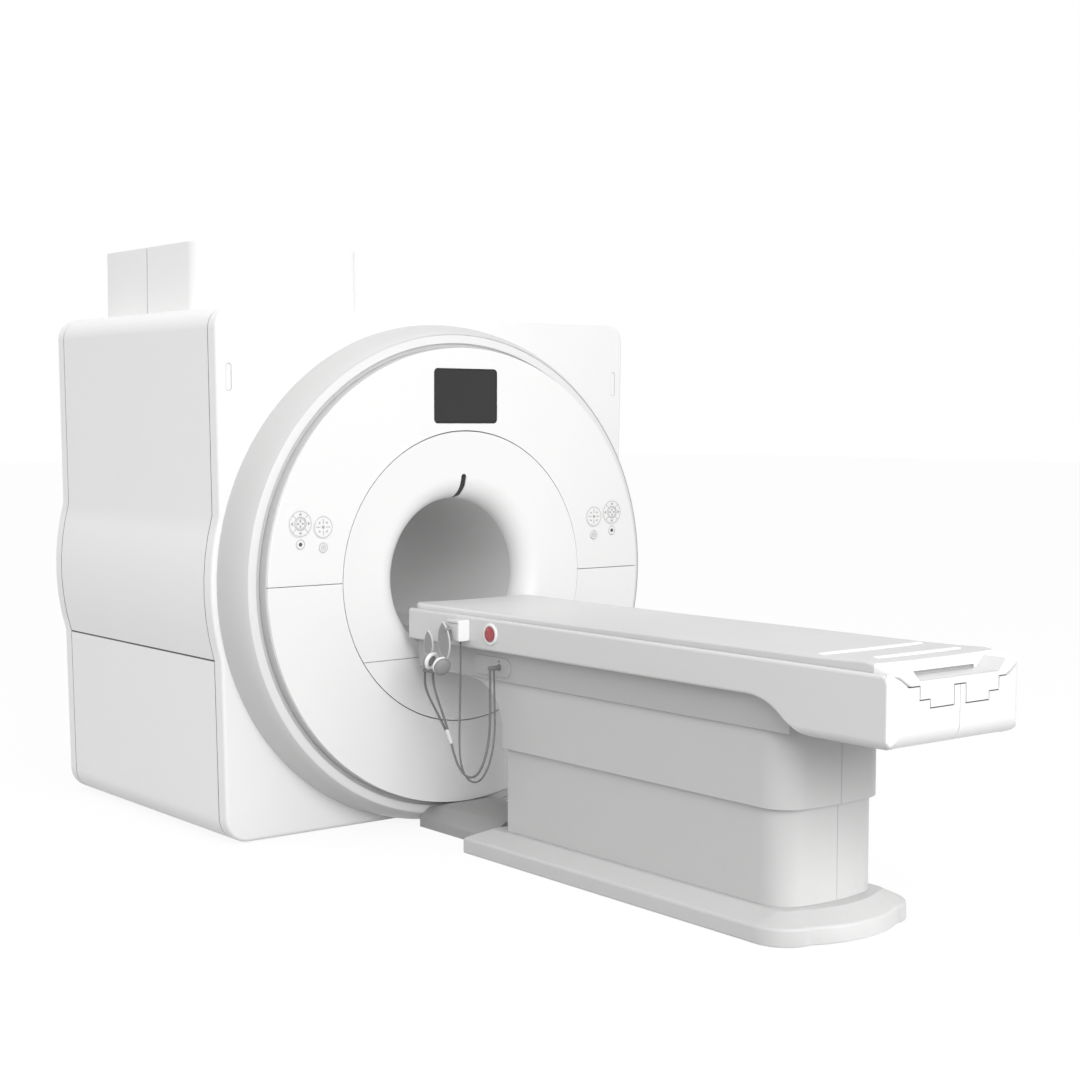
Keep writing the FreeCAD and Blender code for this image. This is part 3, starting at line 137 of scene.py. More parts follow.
# %% [markdown]
# ## Shader values
# A finish is made from noise, steps and mixes. Its nodes could be added and linked one by one,
# which takes a page for each finish. To write them as sums and products instead, a small class
# stands for what comes out of a node, and each operator adds the Math node that it means.

# %% Shader values


class Value:
    """What comes out of a node, or a number that a node takes."""

    def __init__(self, paint, socket):
        self.paint = paint
        self.socket = socket

    def combine(self, operation, first, second):
        return self.paint.node("ShaderNodeMath", {"operation": operation}, {0: first, 1: second})

    def __add__(self, other):
        return self.combine("ADD", self, other)

    def __sub__(self, other):
        return self.combine("SUBTRACT", self, other)

    def __rsub__(self, other):
        return self.combine("SUBTRACT", other, self)

    def __mul__(self, other):
        return self.combine("MULTIPLY", self, other)

    def __truediv__(self, other):
        return self.combine("DIVIDE", self, other)

    __radd__ = __add__
    __rmul__ = __mul__


# %% [markdown]
# The nodes of a finish belong to one material, and those of the studio's sky to the world. Both
# have one shader that leads to an output, so one more class looks after either: it adds a node of
# any type in one call, sets numbers and links alike, and can mix a second shader in.

# %% Paint


class Paint:
    """The nodes round one shader of a material or world, and the one way to add to them."""

    def __init__(self, name, world=None, shader="Principled BSDF"):
        self.material = world or bpy.data.materials.new(name)
        self.material.use_nodes = True
        self.tree = self.material.node_tree
        self.shader = self.tree.nodes[shader]

    def node(self, kind, settings, sockets, output=0):
        """Adds a node: its settings first, then the numbers or links of its sockets."""
        made = self.tree.nodes.new(kind)
        for name, setting in settings.items():
            setattr(made, name, setting)
        for name, entry in sockets.items():
            self.feed(made.inputs[name], entry)
        return Value(self, made.outputs[output])

    def feed(self, socket, entry):
        if isinstance(entry, Value):
            self.tree.links.new(entry.socket, socket)
        else:
            socket.default_value = entry

    def set(self, **sockets):
        """Numbers, colours or links for the shader, with _ for a space in a socket's name."""
        for name, entry in sockets.items():
            self.feed(self.shader.inputs[name.replace("_", " ")], entry)

    def place(self):
        """The point on the surface, in metres in the frame of the CAD."""
        return self.node("ShaderNodeTexCoord", {}, {}, "Object")

    def noise(self, scale, detail=2.0, roughness=0.5):
        """Cloudy values from 0 to 1; scale is in clouds a metre."""
        return self.node("ShaderNodeTexNoise", {}, {
            "Vector": self.place(), "Scale": scale, "Detail": detail, "Roughness": roughness})

    def ramp(self, value, low, high):
        """0 below low and 1 above high, with a smooth change between them."""
        return self.node("ShaderNodeMapRange", {"interpolation_type": "SMOOTHSTEP"}, {
            "Value": value, "From Min": low, "From Max": high})

    def mix(self, share, first, second):
        """A colour between two others."""
        return self.node("ShaderNodeMix", {"data_type": "RGBA"}, {0: share, 6: first, 7: second}, 2)

    def bump(self, height, depth, strength=1.0):
        """A surface raised by height times depth, in metres."""
        return self.node("ShaderNodeBump", {}, {
            "Height": height, "Distance": depth, "Strength": strength})

    def along(self, axis):
        """How far along X, Y or Z the point on the surface is, in metres."""
        return self.node("ShaderNodeSeparateXYZ", {}, {0: self.place()}, axis)

    def looked_past(self):
        """1 where the camera, gloss or glass looks straight at this, and 0 for the light on it."""
        return sum(self.node("ShaderNodeLightPath", {}, {}, f"Is {kind} Ray")
                   for kind in ("Camera", "Glossy", "Transmission"))

    def show(self, share, other):
        """Mixes a share of another shader into this one, on its way to the output."""
        shader_end = self.shader.outputs[0]
        output = shader_end.links[0].to_socket
        self.feed(output, self.node("ShaderNodeMixShader", {}, {
            0: share, 1: Value(self, shader_end), 2: other}))


# %% Tones


def tone(level, warmth=0.0):
    """A near-neutral colour: level is linear, and warmth moves it from grey towards cream."""
    return (level * (1 + warmth), level, level * (1 - warmth), 1)


# %% [markdown]
# ## Finishes
# Nearly everything that shows is moulded or sprayed plastic in whites and light greys. Up close
# such a skin has a faint orange peel, tiny changes of gloss, and scuffs and dust low down, where
# shoes and trolleys touch it. A picture of plastic that is wrapped round a cover stretches at its
# bends. Noise read at the point in space doesn't, so one function makes all of these from noise,
# and the covers belong together.

# %% Cover finish
SCUFF_HEIGHTS = (0.02, 0.35)


def cover(name, level, rough=0.42, coat=0.15, peel=0.00005, scuff=0.0, warmth=0.002):
    """Sprayed or moulded plastic with orange peel, cloudy gloss and scuffs near the floor."""
    paint = Paint(name)
    clouds = paint.noise(2.5, 3)
    grain = paint.noise(900, 1)
    marks = paint.ramp(paint.noise(7, 8, 0.7), 0.5, 0.8)
    low_down = 1 - paint.ramp(paint.along("Z"), *SCUFF_HEIGHTS)
    worn = marks * low_down * scuff + (clouds - 0.5) * 0.03 + 0.015
    paint.set(Base_Color=paint.mix(worn, tone(level, warmth), tone(level * 0.62, warmth * 4)),
              Roughness=rough + (clouds - 0.5) * 0.12 + marks * low_down * scuff * 0.4,
              Coat_Weight=coat, Coat_Roughness=0.22,
              Normal=paint.bump(grain, peel, 0.6))
    return paint.material


# %% [markdown]
# The cradle is one matt shell of glass fibre. Its board is grey, with painted light that makes it
# paler towards the gantry, and ends in a white cap at the handle. Two pieces with two finishes would
# show a joint that the real one doesn't have, so smooth steps along its length change the colour of
# a single finish.

# %% Cradle finish
CAP_EDGE = (-3.3785, -3.3740)
PAINTED_LIGHT_FADE = (-2.3, -1.1)


def cradle_shell():
    """Matt grey board, with painted light towards the gantry and a white cap at the handle."""
    paint = Paint("cradle_white")
    clouds = paint.noise(3, 4)
    cap = 1 - paint.ramp(paint.along("Y"), *CAP_EDGE)
    # Painted light: the board turns paler towards the gantry.
    pale = paint.ramp(paint.along("Y"), *PAINTED_LIGHT_FADE)
    board = paint.mix(clouds, paint.mix(pale, tone(0.58), tone(0.70)),
                      paint.mix(pale, tone(0.56, 0.003), tone(0.67, 0.003)))
    paint.set(Base_Color=paint.mix(cap, board, tone(0.86)), Roughness=0.5 + (clouds - 0.5) * 0.1,
              Coat_Weight=0.05, Normal=paint.bump(paint.noise(700, 1), 0.00005, 0.6))
    return paint.material


# %% [markdown]
# Under the covers are a painted steel frame, a brushed steel vessel and the metal deck of the
# table. They could be left in one flat colour, since they show only when the cradle is away or a
# cover is off. But then they would look like plastic, so noise breaks up their colour and gloss as
# rolling and brushing does.

# %% Metals and the list of finishes


def metal(name, level, rough, warmth=0.0, scale=60):
    """Bare or painted metal with rolling marks."""
    paint = Paint(name)
    drawn = paint.noise(scale, 4, 0.7)
    paint.set(Base_Color=paint.mix(drawn, tone(level, warmth), tone(level * 0.8, warmth)),
              Metallic=0.85, Roughness=rough + (drawn - 0.5) * 0.2,
              Normal=paint.bump(drawn, 0.0001, 0.4))
    return paint.material


FINISHES = {
    "cover_white": cover("cover_white", 0.88),
    "cover_light_grey": cover("cover_light_grey", 0.62, scuff=0.12),
    "cover_mid_grey": cover("cover_mid_grey", 0.52, scuff=0.15),
    # Darker copies of the mid grey: painted shade under the table top on the skirt, and low by the
    # floor on the duct.
    "skirt_grey": cover("skirt_grey", 0.42),
    "duct_grey": cover("duct_grey", 0.35),
    "plate_grey": cover("plate_grey", 0.55, scuff=0.12),
    "lip_white": cover("lip_white", 0.78),
    "ring_grey": cover("ring_grey", 0.60),
    "bore_white": cover("bore_white", 0.74, rough=0.5, coat=0.05),
    "key_white": cover("key_white", 0.86, rough=0.55, coat=0.0, peel=0.00003),
    "cradle_white": cradle_shell(),
    "stop_white": cover("stop_white", 0.80, rough=0.35),
    "steel_frame": metal("steel_frame", 0.35, 0.45),
    "vessel_steel": metal("vessel_steel", 0.55, 0.3),
    "deck_metal": metal("deck_metal", 0.45, 0.4),
}
print("cover and metal finishes:", ", ".join(FINISHES))

# %% [markdown]
# Resin, glass, rubber and the red of the stop button each have a surface of their own: wound glass
# fibre shows as rings round the coil, the screen is smoked glass with a softer layer under it, and
# hose rubber is matt with a dusty bloom. The cover finish with other numbers could stand for them,
# but it has no rings, no depth and no bloom, so each gets a function.

# %% Resin and glass
COIL_RINGS = 420


def coil_resin():
    """Cast resin over wound fibre: brown, with rings round the bore."""
    paint = Paint("coil_resin")
    rings = paint.node("ShaderNodeMath", {"operation": "SINE"}, {0: paint.along("Y") * COIL_RINGS})
    cloud = paint.noise(14, 4)
    paint.set(Base_Color=paint.mix(cloud, (0.36, 0.22, 0.10, 1), (0.24, 0.14, 0.07, 1)),
              Roughness=0.5 + (cloud - 0.5) * 0.2, Normal=paint.bump(rings, 0.0004, 0.5))
    return paint.material


def smoked_glass(name, level, haze):
    """Dark glass: a faint cloudy layer under a glossy face."""
    paint = Paint(name)
    cloud = paint.noise(9, 2)
    dust = paint.ramp(paint.noise(260, 2), 0.62, 0.8)
    paint.set(Base_Color=paint.mix(cloud * haze, tone(level), tone(level * 1.5)),
              Roughness=0.22 + dust * 0.12, Coat_Weight=0.1, Coat_Roughness=0.08)
    return paint.material


# %% Rubber and red


def rubber(name, level, warmth=0.0):
    """Matt elastomer with a dusty bloom and fine grain."""
    paint = Paint(name)
    bloom = paint.noise(120, 4, 0.6)
    paint.set(Base_Color=paint.mix(bloom, tone(level, warmth), tone(level * 1.35, warmth)),
              Roughness=0.62 + (bloom - 0.5) * 0.2,
              Normal=paint.bump(paint.noise(1500, 1), 0.00004, 0.5))
    return paint.material


def signal_red():
    """Glossy red plastic of the stop button, duller where hands press it."""
    paint = Paint("stop_red")
    touched = paint.ramp(paint.noise(90, 3), 0.4, 0.75)
    paint.set(Base_Color=paint.mix(touched, (0.34, 0.030, 0.040, 1), (0.44, 0.09, 0.10, 1)),
              Roughness=0.3 + touched * 0.2, Coat_Weight=0.3, Coat_Roughness=0.15)
    return paint.material


FINISHES |= {
    "coil_resin": coil_resin(),
    "screen_dark": smoked_glass("screen_dark", 0.009, 0.5),
    "window_dark": smoked_glass("window_dark", 0.006, 0.3),
    "fitting_grey": rubber("fitting_grey", 0.16),
    "headset_grey": rubber("headset_grey", 0.24),
    "hose_grey": rubber("hose_grey", 0.13),
    "stop_red": signal_red(),
}
# Grey for the raised marks on the keys, and for the strips that paint shade on the pedestal's seams.
line_grey = cover("line_grey", 0.42, rough=0.6, coat=0.0)
# Dark sheets behind seams and gaps paint the shade in them; the unlit lamps on the keys share this
# dark.
seam_shadow = cover("seam_shadow", 0.10, rough=0.8, coat=0.0)
print("finishes:", len(FINISHES), "and two for lines and seams")

# %% [markdown]
# ## Light and floor
# The photograph has a plain white studio. More light would turn the background white too, but it
# would burn out the covers. Here the sky lights the object at a plain level, brighter from one
# side, and a second colour is shown only where the camera, gloss or glass looks past the object.

# %% Sky
SKY_STRENGTH = 1.32
SKY_RIGHT, SKY_LEFT = 0.36, 0.86
white = (1, 1, 1, 1)


def studio_world():
    """Soft grey light on the object, and white where the camera, gloss or glass looks past it."""
    world = bpy.data.worlds.new("studio")
    scene.world = world
    sky = Paint("studio", world, "Background")
    way = sky.node("ShaderNodeTexCoord", {}, {}, "Generated")
    across = sky.node("ShaderNodeSeparateXYZ", {}, {0: way}, "X")
    shade = sky.node("ShaderNodeMapRange", {}, {
        "Value": across, "From Min": -1, "To Min": SKY_LEFT, "To Max": SKY_RIGHT})
    sky.set(Color=shade, Strength=SKY_STRENGTH)
    sky.show(sky.looked_past(), sky.node("ShaderNodeBackground", {}, {"Color": white}))


studio_world()
print("sky: strength", SKY_STRENGTH, "left to right", SKY_LEFT, SKY_RIGHT)

# %% [markdown]
# The floor is a plain pale sheet that runs into the white. A curved backdrop would do as well, but
# it would show in the side views. A flat floor that glows white to the camera, and keeps a tenth of
# its own shading, looks like paper and holds a soft shadow.

# %% Floor
FLOOR_REACH = 60
FLOOR_GLOW = 0.9


def studio_floor():
    """A wide pale floor that fades into the white world but keeps a soft shadow."""
    mesh = bpy.data.meshes.new("floor")
    corners = [(across * FLOOR_REACH, along * FLOOR_REACH, 0)
               for across, along in ((-1, -1), (1, -1), (1, 1), (-1, 1))]
    mesh.from_pydata(corners, [], [(0, 1, 2, 3)])
    floor = bpy.data.objects.new("floor", mesh)
    scene.collection.objects.link(floor)
    paint = Paint("floor")
    paint.set(Base_Color=paint.mix(paint.looked_past(), tone(0.42), tone(1.0)), Roughness=0.9)
    paint.show(paint.looked_past() * FLOOR_GLOW,
               paint.node("ShaderNodeEmission", {}, {"Strength": 1.0}))
    mesh.materials.append(paint.material)


studio_floor()
print("floor:", 2 * FLOOR_REACH, "m wide")

# %% [markdown]
# A wide panel in front of the gantry makes the faces that look at the table the brightest, one
# above lights the tops, and a small one near the floor reaches under the table's foot end. Points
# or a sun would need less thought, but their hard shadows aren't in the photograph, and a large
# square panel gives soft ones.

# %% Lamps


def panel(name, place, target, size, watts, spread=180):
    """A square soft light that looks at a point."""
    lamp = bpy.data.lights.new(name, "AREA")
    lamp.size = size
    lamp.energy = watts
    lamp.spread = math.radians(spread)
    holder = bpy.data.objects.new(name, lamp)
    scene.collection.objects.link(holder)
    holder.location = place
    holder.rotation_euler = (Vector(target) - Vector(place)).to_track_quat("-Z", "Y").to_euler()
    print(name, "at", place, "with", watts, "W")


panel("front_panel", (-2.5, -9.0, 4.5), (0, 0, 1.0), 5, 400)
panel("top_panel", (1.0, -1.5, 7.0), (0, -1.5, 0.5), 5, 60)
panel("foot_panel", (0.4, -4.7, 0.22), (0, -2.9, 0.02), 0.5, 0.55, 28)
scene.view_settings.view_transform = "Standard"

# %% [markdown]
# ## Tools for the pieces
# A cover could be shaped by moving points until it looks right, but then nobody can say how wide it
# is. Here nearly every form comes from a drawing: an outline pushed to a thickness with rounded
# rims, or a profile turned about an axis. An outline is written as corners, and as arcs where a
# corner carries a radius, so that it reads like the drawing that it came from.

# %% Outlines
FINE = math.radians(5)
PLACES = {
    "x": lambda u, v, w: (w, u, v),
    "y": lambda u, v, w: (u, w, v),
    "z": lambda u, v, w: (u, v, w),
}


def outline(steps):
    """Points of a closed outline. A step is a corner, or a corner and the radius of the arc that
    leads to it: positive turns left, negative turns right."""
    points = []
    for number, step in enumerate(steps):
        end = Vector(step[:2])
        if len(step) == 3:
            start = Vector(steps[number - 1][:2])
            radius = abs(step[2])
            turn = math.copysign(1, step[2])
            chord = end - start
            height = math.sqrt(max(radius ** 2 - chord.length_squared / 4, 0))
            centre = (start + end) / 2 + Vector((-chord.y, chord.x)).normalized() * height * turn
            sweep = 2 * math.asin(min(1, chord.length / 2 / radius)) * turn
            count = max(2, round(abs(sweep) / FINE))
            for part in range(1, count):
                points.append(centre + Matrix.Rotation(sweep * part / count, 2) @ (start - centre))
        points.append(end)
    return points


# %% Outlines that are needed often


def rectangle(left, low, right, high):
    """Outline of a rectangle with sharp corners."""
    return outline([(right, low), (right, high), (left, high), (left, low)])


def inset(points, distance):
    """The outline drawn inwards by a distance."""
    if not distance:
        return points
    area = sum(a.cross(b) for a, b in zip(points, points[1:] + points[:1]))
    moved = []
    for before, here, after in zip(points[-1:] + points[:-1], points, points[1:] + points[:1]):
        come = (here - before).normalized()
        leave = (after - here).normalized()
        inward = Vector((-come.y - leave.y, come.x + leave.x)).normalized() * math.copysign(1, area)
        lean = max(0.3, abs(inward.dot(Vector((-come.y, come.x)))))
        moved.append(here + inward * distance / lean)
    return moved


def circle(across, up, radius, count=64):
    """Points of a round hole or rim."""
    angles = (2 * math.pi * part / count for part in range(count))
    return [Vector((across + radius * math.cos(angle), up + radius * math.sin(angle)))
            for angle in angles]


def rounded_box(left, low, right, high, radius):
    """Outline of a rectangle with round corners."""
    return outline([
        (right, low + radius, radius), (right, high - radius), (right - radius, high, radius),
        (left + radius, high), (left, high - radius, radius), (left, low + radius),
        (left + radius, low, radius), (right - radius, low),
    ])


# %% [markdown]
# A slab is what a sheet of cover material is: an outline with a thickness. Blender's Bevel could
# round its rims, but on an outline of many short arcs it gets into trouble. So the rounded rims are
# rows of points, each drawn in a little further, with quads between them and a flat lid on each
# end.

# %% Walls and lids


def band(bm, first, second, closed=True):
    """Quads between two rows of vertices."""
    count = len(first)
    for here in range(count if closed else count - 1):
        following = (here + 1) % count
        bm.faces.new((first[here], first[following], second[following], second[here]))


def lid(bm, rim, holes=()):
    """A flat face inside a rim, with holes."""
    loops = [rim, *holes]
    corners = [corner for loop in loops for corner in loop]
    for triangle in geometry.tessellate_polygon([[corner.co for corner in loop] for loop in loops]):
        bm.faces.new([corners[number] for number in triangle])


# %% Slabs
RIM_STEPS = 4


def rim_rows(edge, radius, towards):
    """Pairs of depth and inset that round one rim of a slab, from its face outwards."""
    if not radius:
        return [(edge, 0)]
    rows = []
    for part in range(RIM_STEPS + 1):
        angle = math.pi / 2 * part / RIM_STEPS
        rows.append((edge + towards * radius * (1 - math.cos(angle)),
                     radius * (1 - math.sin(angle))))
    return rows


def slab(axis, points, low, high, round_low=0.0, round_high=0.0, holes=()):
    """An outline pushed along an axis. A hole is its outline and its depth from the low face, or
    None where it goes through."""
    bm = bmesh.new()
    place = PLACES[axis]

    def row(ring, depth):
        return [bm.verts.new(place(point.x, point.y, depth)) for point in ring]

    levels = rim_rows(low, round_low, 1) + rim_rows(high, round_high, -1)[::-1]
    rows = [row(inset(points, drawn_in), depth) for depth, drawn_in in levels]
    for first, second in zip(rows, rows[1:]):
        band(bm, first, second)
    low_holes = []
    high_holes = []
    for ring, depth in holes:
        mouth = row(ring, low)
        end = row(ring, high if depth is None else low + depth)
        band(bm, mouth, end)
        low_holes.append(mouth)
        if depth is None:
            high_holes.append(end)
        else:
            lid(bm, end)
    lid(bm, rows[0], low_holes)
    lid(bm, rows[-1], high_holes)
    return bm


# %% [markdown]
# A mesh becomes a piece when it is an object with a finish that rides on a body of the CAD. Each of
# these could be done by hand at every piece, and one would be forgotten. One function does them
# all: smooth shading where faces turn gently, the finish, the body, and the CAD solid that the
# piece stands for.

# %% Pieces
new_pieces = []


def piece(name, bm, finish, body, stands_for=(), sharp=32):
    """Makes an object of a mesh: smooth where its faces turn gently, and riding on its body."""
    bmesh.ops.remove_doubles(bm, verts=bm.verts, dist=1e-6)
    bmesh.ops.recalc_face_normals(bm, faces=bm.faces)
    mesh = bpy.data.meshes.new(name)
    bm.to_mesh(mesh)
    bm.free()
    mesh.shade_smooth()
    mesh.set_sharp_from_angle(angle=math.radians(sharp))
    made = bpy.data.objects.new(name, mesh)
    scene.collection.objects.link(made)
    flat_first = made.modifiers.new("flat_faces_first", "WEIGHTED_NORMAL")
    flat_first.keep_sharp = True
    material = FINISHES[finish] if finish in FINISHES else finish
    mesh.materials.append(material)
    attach(made, body)
    finish in FINISHES
    if stands_for:
        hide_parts(*stands_for)
    new_pieces.append(name)
    return made


def on_gantry(name, bm, stands_for=(), finish="cover_white"):
    """A piece that stands still with the gantry."""
    return piece(name, bm, finish, "scanner_base", stands_for)


def on_table(name, bm, finish, stands_for=()):
    """A piece that rides on the table's top stage."""
    return piece(name, bm, finish, "table_top", stands_for)


def tell(step):
    """Prints the pieces that a step made."""
    print(f"{step}: {', '.join(new_pieces)}")
    new_pieces.clear()


# %% [markdown]
# ## Gantry covers
# The end covers are flat plates with a generously rounded outer edge that catches the light, and a
# lock slot near each upper corner. Their outline has a waist: the sides lean out above a crease and
# bulge below it. A box could be bent into this form with a lattice, but its seams would wander.
# Here all covers share one outline, so they meet. The side covers are sheets with that outline, all
# of them stop 3.5 mm short of each joint, and a dark sheet behind the joint paints the shade in the
# gap, so that it shows as a fine grey line.

# %% Outline of the covers
BORE_HEIGHT = 1.030
FRONT = -0.700
STRIP_BACK = -0.636
REAR_STRIP = 0.683
REAR = 0.747
COVER_EDGE = 0.014
LAP = 0.0015
JOINT = 0.0035
SIDE_SEAM = 0.728
FOOT_ROUND, BULGE, TOP_ROUND = 0.100, 1.015, 0.090
SIDES = {"left": -1, "right": 1}


def gantry_outline():
    """Both sides of the covers' outline, from the foot up."""
    right = [(0.904, 0.005), (1.004, 0.105, FOOT_ROUND), (1.019, SIDE_SEAM), (1.024, 1.300, BULGE),
             (1.037, 2.024), (0.947, 2.114, TOP_ROUND)]
    left = [(-step[0], step[1]) for step in reversed(right)]
    for number, radius in ((1, TOP_ROUND), (3, BULGE), (5, FOOT_ROUND)):
        left[number] += (radius,)
    return outline(right + left)


cover_outline = gantry_outline()
print("cover outline:", len(cover_outline), "points")

# %% End covers and their lock slots
LOCK = {"across": 0.980, "half": 0.0125, "low": 1.784, "high": 1.892, "depth": 0.008, "gap": 0.002}
RING_HOLE = 0.900
REAR_HOLE = 0.4403


def lock_shape(side, spare=0.0):
    """Outline of the lock slot on one side, or of the plug that leaves a gap in it."""
    centre, half = LOCK["across"] * side, LOCK["half"] - spare
    return rounded_box(centre - half, LOCK["low"] + spare, centre + half, LOCK["high"] - spare,
                       half - 0.0001)


for word, side in SIDES.items():
    on_gantry(f"lock_plug_{word}", slab("y", lock_shape(side, LOCK["gap"]), FRONT + 0.0015,
                                        FRONT + 0.0082, 0.001))
front_holes = [(circle(0, BORE_HEIGHT, RING_HOLE, 96), None),
               *((lock_shape(side), LOCK["depth"]) for side in SIDES.values())]
on_gantry("front_shell", slab("y", cover_outline, FRONT, STRIP_BACK - JOINT, COVER_EDGE, LAP,
                              front_holes), ["front_cover"])
on_gantry("rear_shell", slab("y", cover_outline, REAR_STRIP + JOINT, REAR, LAP, COVER_EDGE,
                             [(circle(0, BORE_HEIGHT, REAR_HOLE, 96), None)]), ["rear_cover"])
tell("end covers")

# %% Side covers, top cover and painted seam shade
UPPER_SIDE = [
    (0.947, 2.114, 0.090), (0.930 + JOINT, 2.114), (0.930 + JOINT, 2.102), (0.947, 2.102),
    (1.025, 2.024, -0.078), (1.012, 1.300), (1.007, SIDE_SEAM + JOINT, -1.003),
    (1.019, SIDE_SEAM + JOINT), (1.024, 1.300, 1.015), (1.037, 2.024),
]
LOWER_SIDE = [
    (1.004, 0.105, 0.100), (1.019, SIDE_SEAM - JOINT), (1.007, SIDE_SEAM - JOINT), (0.992, 0.105),
    (0.904, 0.017, -0.088), (0.904, 0.005),
]
SEAM_SHADE_HALF = 0.008


def mirrored(steps):
    """The same outline on the other side."""
    return [(-step[0], step[1], *(-radius for radius in step[2:])) for step in steps]


def sheet_cover(name, points, stands_for):
    """A cover between the two end covers."""
    on_gantry(name, slab("y", points, STRIP_BACK + JOINT, REAR_STRIP - JOINT, LAP, LAP),
              [stands_for])


for word, side in SIDES.items():
    for level, steps in (("upper", UPPER_SIDE), ("lower", LOWER_SIDE)):
        steps = steps if side > 0 else mirrored(steps)
        sheet_cover(f"side_{level}_{word}", outline(steps), f"side_cover_{level}_{word}")
    left, right = sorted((1.010 * side, 1.016 * side))
    # A dark sheet behind the side seam paints the shade in it.
    on_gantry(f"seam_shade_side_{word}", slab(
        "y", rectangle(left, SIDE_SEAM - 0.012, right, SIDE_SEAM + 0.012), STRIP_BACK, REAR_STRIP),
        finish=seam_shadow)
sheet_cover("top_sheet", rectangle(-0.9275, 2.102, 0.9275, 2.114), "top_cover")
# Dark sheets behind the joints of the end covers paint the shade in them.
for word, middle in (("front", STRIP_BACK), ("rear", REAR_STRIP)):
    on_gantry(f"seam_shade_{word}", slab(
        "y", inset(cover_outline, 0.0025), middle - SEAM_SHADE_HALF, middle + SEAM_SHADE_HALF,
        holes=[(inset(cover_outline, 0.010), None)]), finish=seam_shadow)
tell("side covers, top and seam_shade_sheets")

# %% [markdown]
# ## Turret
# The cold head stands under a hood in two halves that meet at a cross seam. Its front corners are
# round and its rear corners tight. A cube with a Bevel would round all four corners alike, so each
# half is drawn in plan, with the radius that each corner has, and pushed up.

# %% Turret
TURRET = {"left": -0.820, "right": -0.008, "front": -0.140, "rear": 0.700, "low": 2.114,
          "high": 2.415, "corner": 0.070, "tight": 0.016, "seam": 0.300, "sunk": 0.003}


def hood(front):
    """Plan of one half of the turret."""
    left, right, seam = TURRET["left"], TURRET["right"], TURRET["seam"]
    if front:
        end, corner = TURRET["front"], TURRET["corner"]
        return outline([
            (right, seam - JOINT), (left, seam - JOINT), (left, end + corner),
            (left + corner, end, corner), (right - corner, end), (right, end + corner, corner),
        ])
    end, corner = TURRET["rear"], TURRET["tight"]
    return outline([
        (left, seam + JOINT), (right, seam + JOINT), (right, end - corner),
        (right - corner, end, corner), (left + corner, end), (left, end - corner, corner),
    ])


for word, front in (("front", True), ("rear", False)):
    on_gantry(f"turret_{word}", slab("z", hood(front), TURRET["low"], TURRET["high"], 0, 0.003),
              [f"turret_cover_{word}"])
# A dark strip under the cross seam paints the shade in it.
seam_strip = rectangle(TURRET["left"] + TURRET["sunk"], TURRET["seam"] - 0.015,
                       TURRET["right"] - TURRET["sunk"], TURRET["seam"] + 0.015)
on_gantry("seam_shade_turret", slab("z", seam_strip, TURRET["low"] + 0.006,
                                TURRET["high"] - TURRET["sunk"]), finish=seam_shadow)
tell("turret")

# %% [markdown]
# ## Ring and disc
# The ring swells out of the front cover and ends in a narrow lip. Inside the lip is a shallow
# groove, and in it stands the white disc, split at bore height. Loops of a cylinder could be scaled
# one after the other until the swell looks right. But ring, lip and the disc's edge are true bodies
# of rotation, so each is one profile turned about the bore's axis, and its numbers are the radii
# and depths themselves. The ring's foot is cut off level, just over the floor.

# %% Turned forms and cuts


def turned(axis, centre, profile, count=96, closed=True):
    """A profile of (radius, place along the axis) turned about the axis. An open profile starts
    and ends on the axis."""
    bm = bmesh.new()
    place = PLACES[axis]
    rows = []
    for part in range(count):
        angle = 2 * math.pi * part / count
        rows.append([bm.verts.new(place(centre[0] + radius * math.cos(angle),
                                        centre[1] + radius * math.sin(angle), along))
                     for radius, along in profile])
    for first, second in zip(rows, rows[1:] + rows[:1]):
        band(bm, first, second, closed)
    return bm


def trim(bm, point, normal):
    """Cuts away what lies beyond a plane and closes the cut."""
    cut = bmesh.ops.bisect_plane(bm, geom=bm.verts[:] + bm.edges[:] + bm.faces[:], plane_co=point,
                                 plane_no=normal, clear_outer=True)
    edges = [item for item in cut["geom_cut"] if isinstance(item, bmesh.types.BMEdge)]
    bmesh.ops.edgeloop_fill(bm, edges=edges)


# %% Ring
BORE_AXIS = (0, BORE_HEIGHT)
GROOVE_FLOOR = -0.8520
ring = turned("y", BORE_AXIS, [
    (1.0400, FRONT), (1.0395, -0.716), (1.0375, -0.740), (1.0340, -0.766), (1.0285, -0.792),
    (1.0210, -0.818), (1.0115, -0.841), (1.0020, -0.856), (0.9950, -0.8618),
    (0.9950, GROOVE_FLOOR), (0.9400, GROOVE_FLOOR), (0.9400, FRONT),
], count=256)
trim(ring, (0, 0, 0.005), (0, 0, -1))
on_gantry("front_ring", ring, ["bezel_ring"], "ring_grey")
lip = turned("y", BORE_AXIS, [
    (0.9945, -0.8516), (0.9945, -0.8590), (0.9920, -0.8610), (0.9860, -0.8623), (0.9640, -0.8650),
    (0.9605, -0.8645), (0.9584, -0.8620), (0.9580, -0.8580), (0.9580, -0.8516),
], count=256)
on_gantry("ring_lip", lip, finish="lip_white")
tell("ring")

# %% Places on the disc
DISC_FACE = -0.9145
DISC_RADIUS = 0.937
MOUTH_RADIUS = 0.5986
SEAM = 0.0013
KEYS = {
    "pad_ring": (0.793, 1.272, 0.054),
    "pad_small": (0.690, 1.256, 0.0450),
    "key_outer": (0.793, 1.192, 0.0205),
    "key_inner": (0.690, 1.176, 0.0205),
}
SCREEN = (-0.160, 1.660, 0.160, 1.884, 0.018)
SCREEN_CORNER_INSIDE = 0.0127
KEY_GAP = 0.0006
print("disc:", 2 * DISC_RADIUS, "m across, with", 2 * len(KEYS), "openings for keys")

# %% Disc


def screen_shape(drawn_in):
    """The screen's rounded outline, drawn in by a distance, or out where it is negative."""
    left, low, right, high, corner = SCREEN
    return rounded_box(left + drawn_in, low + drawn_in, right - drawn_in, high - drawn_in,
                       max(corner - drawn_in, SCREEN_CORNER_INSIDE))


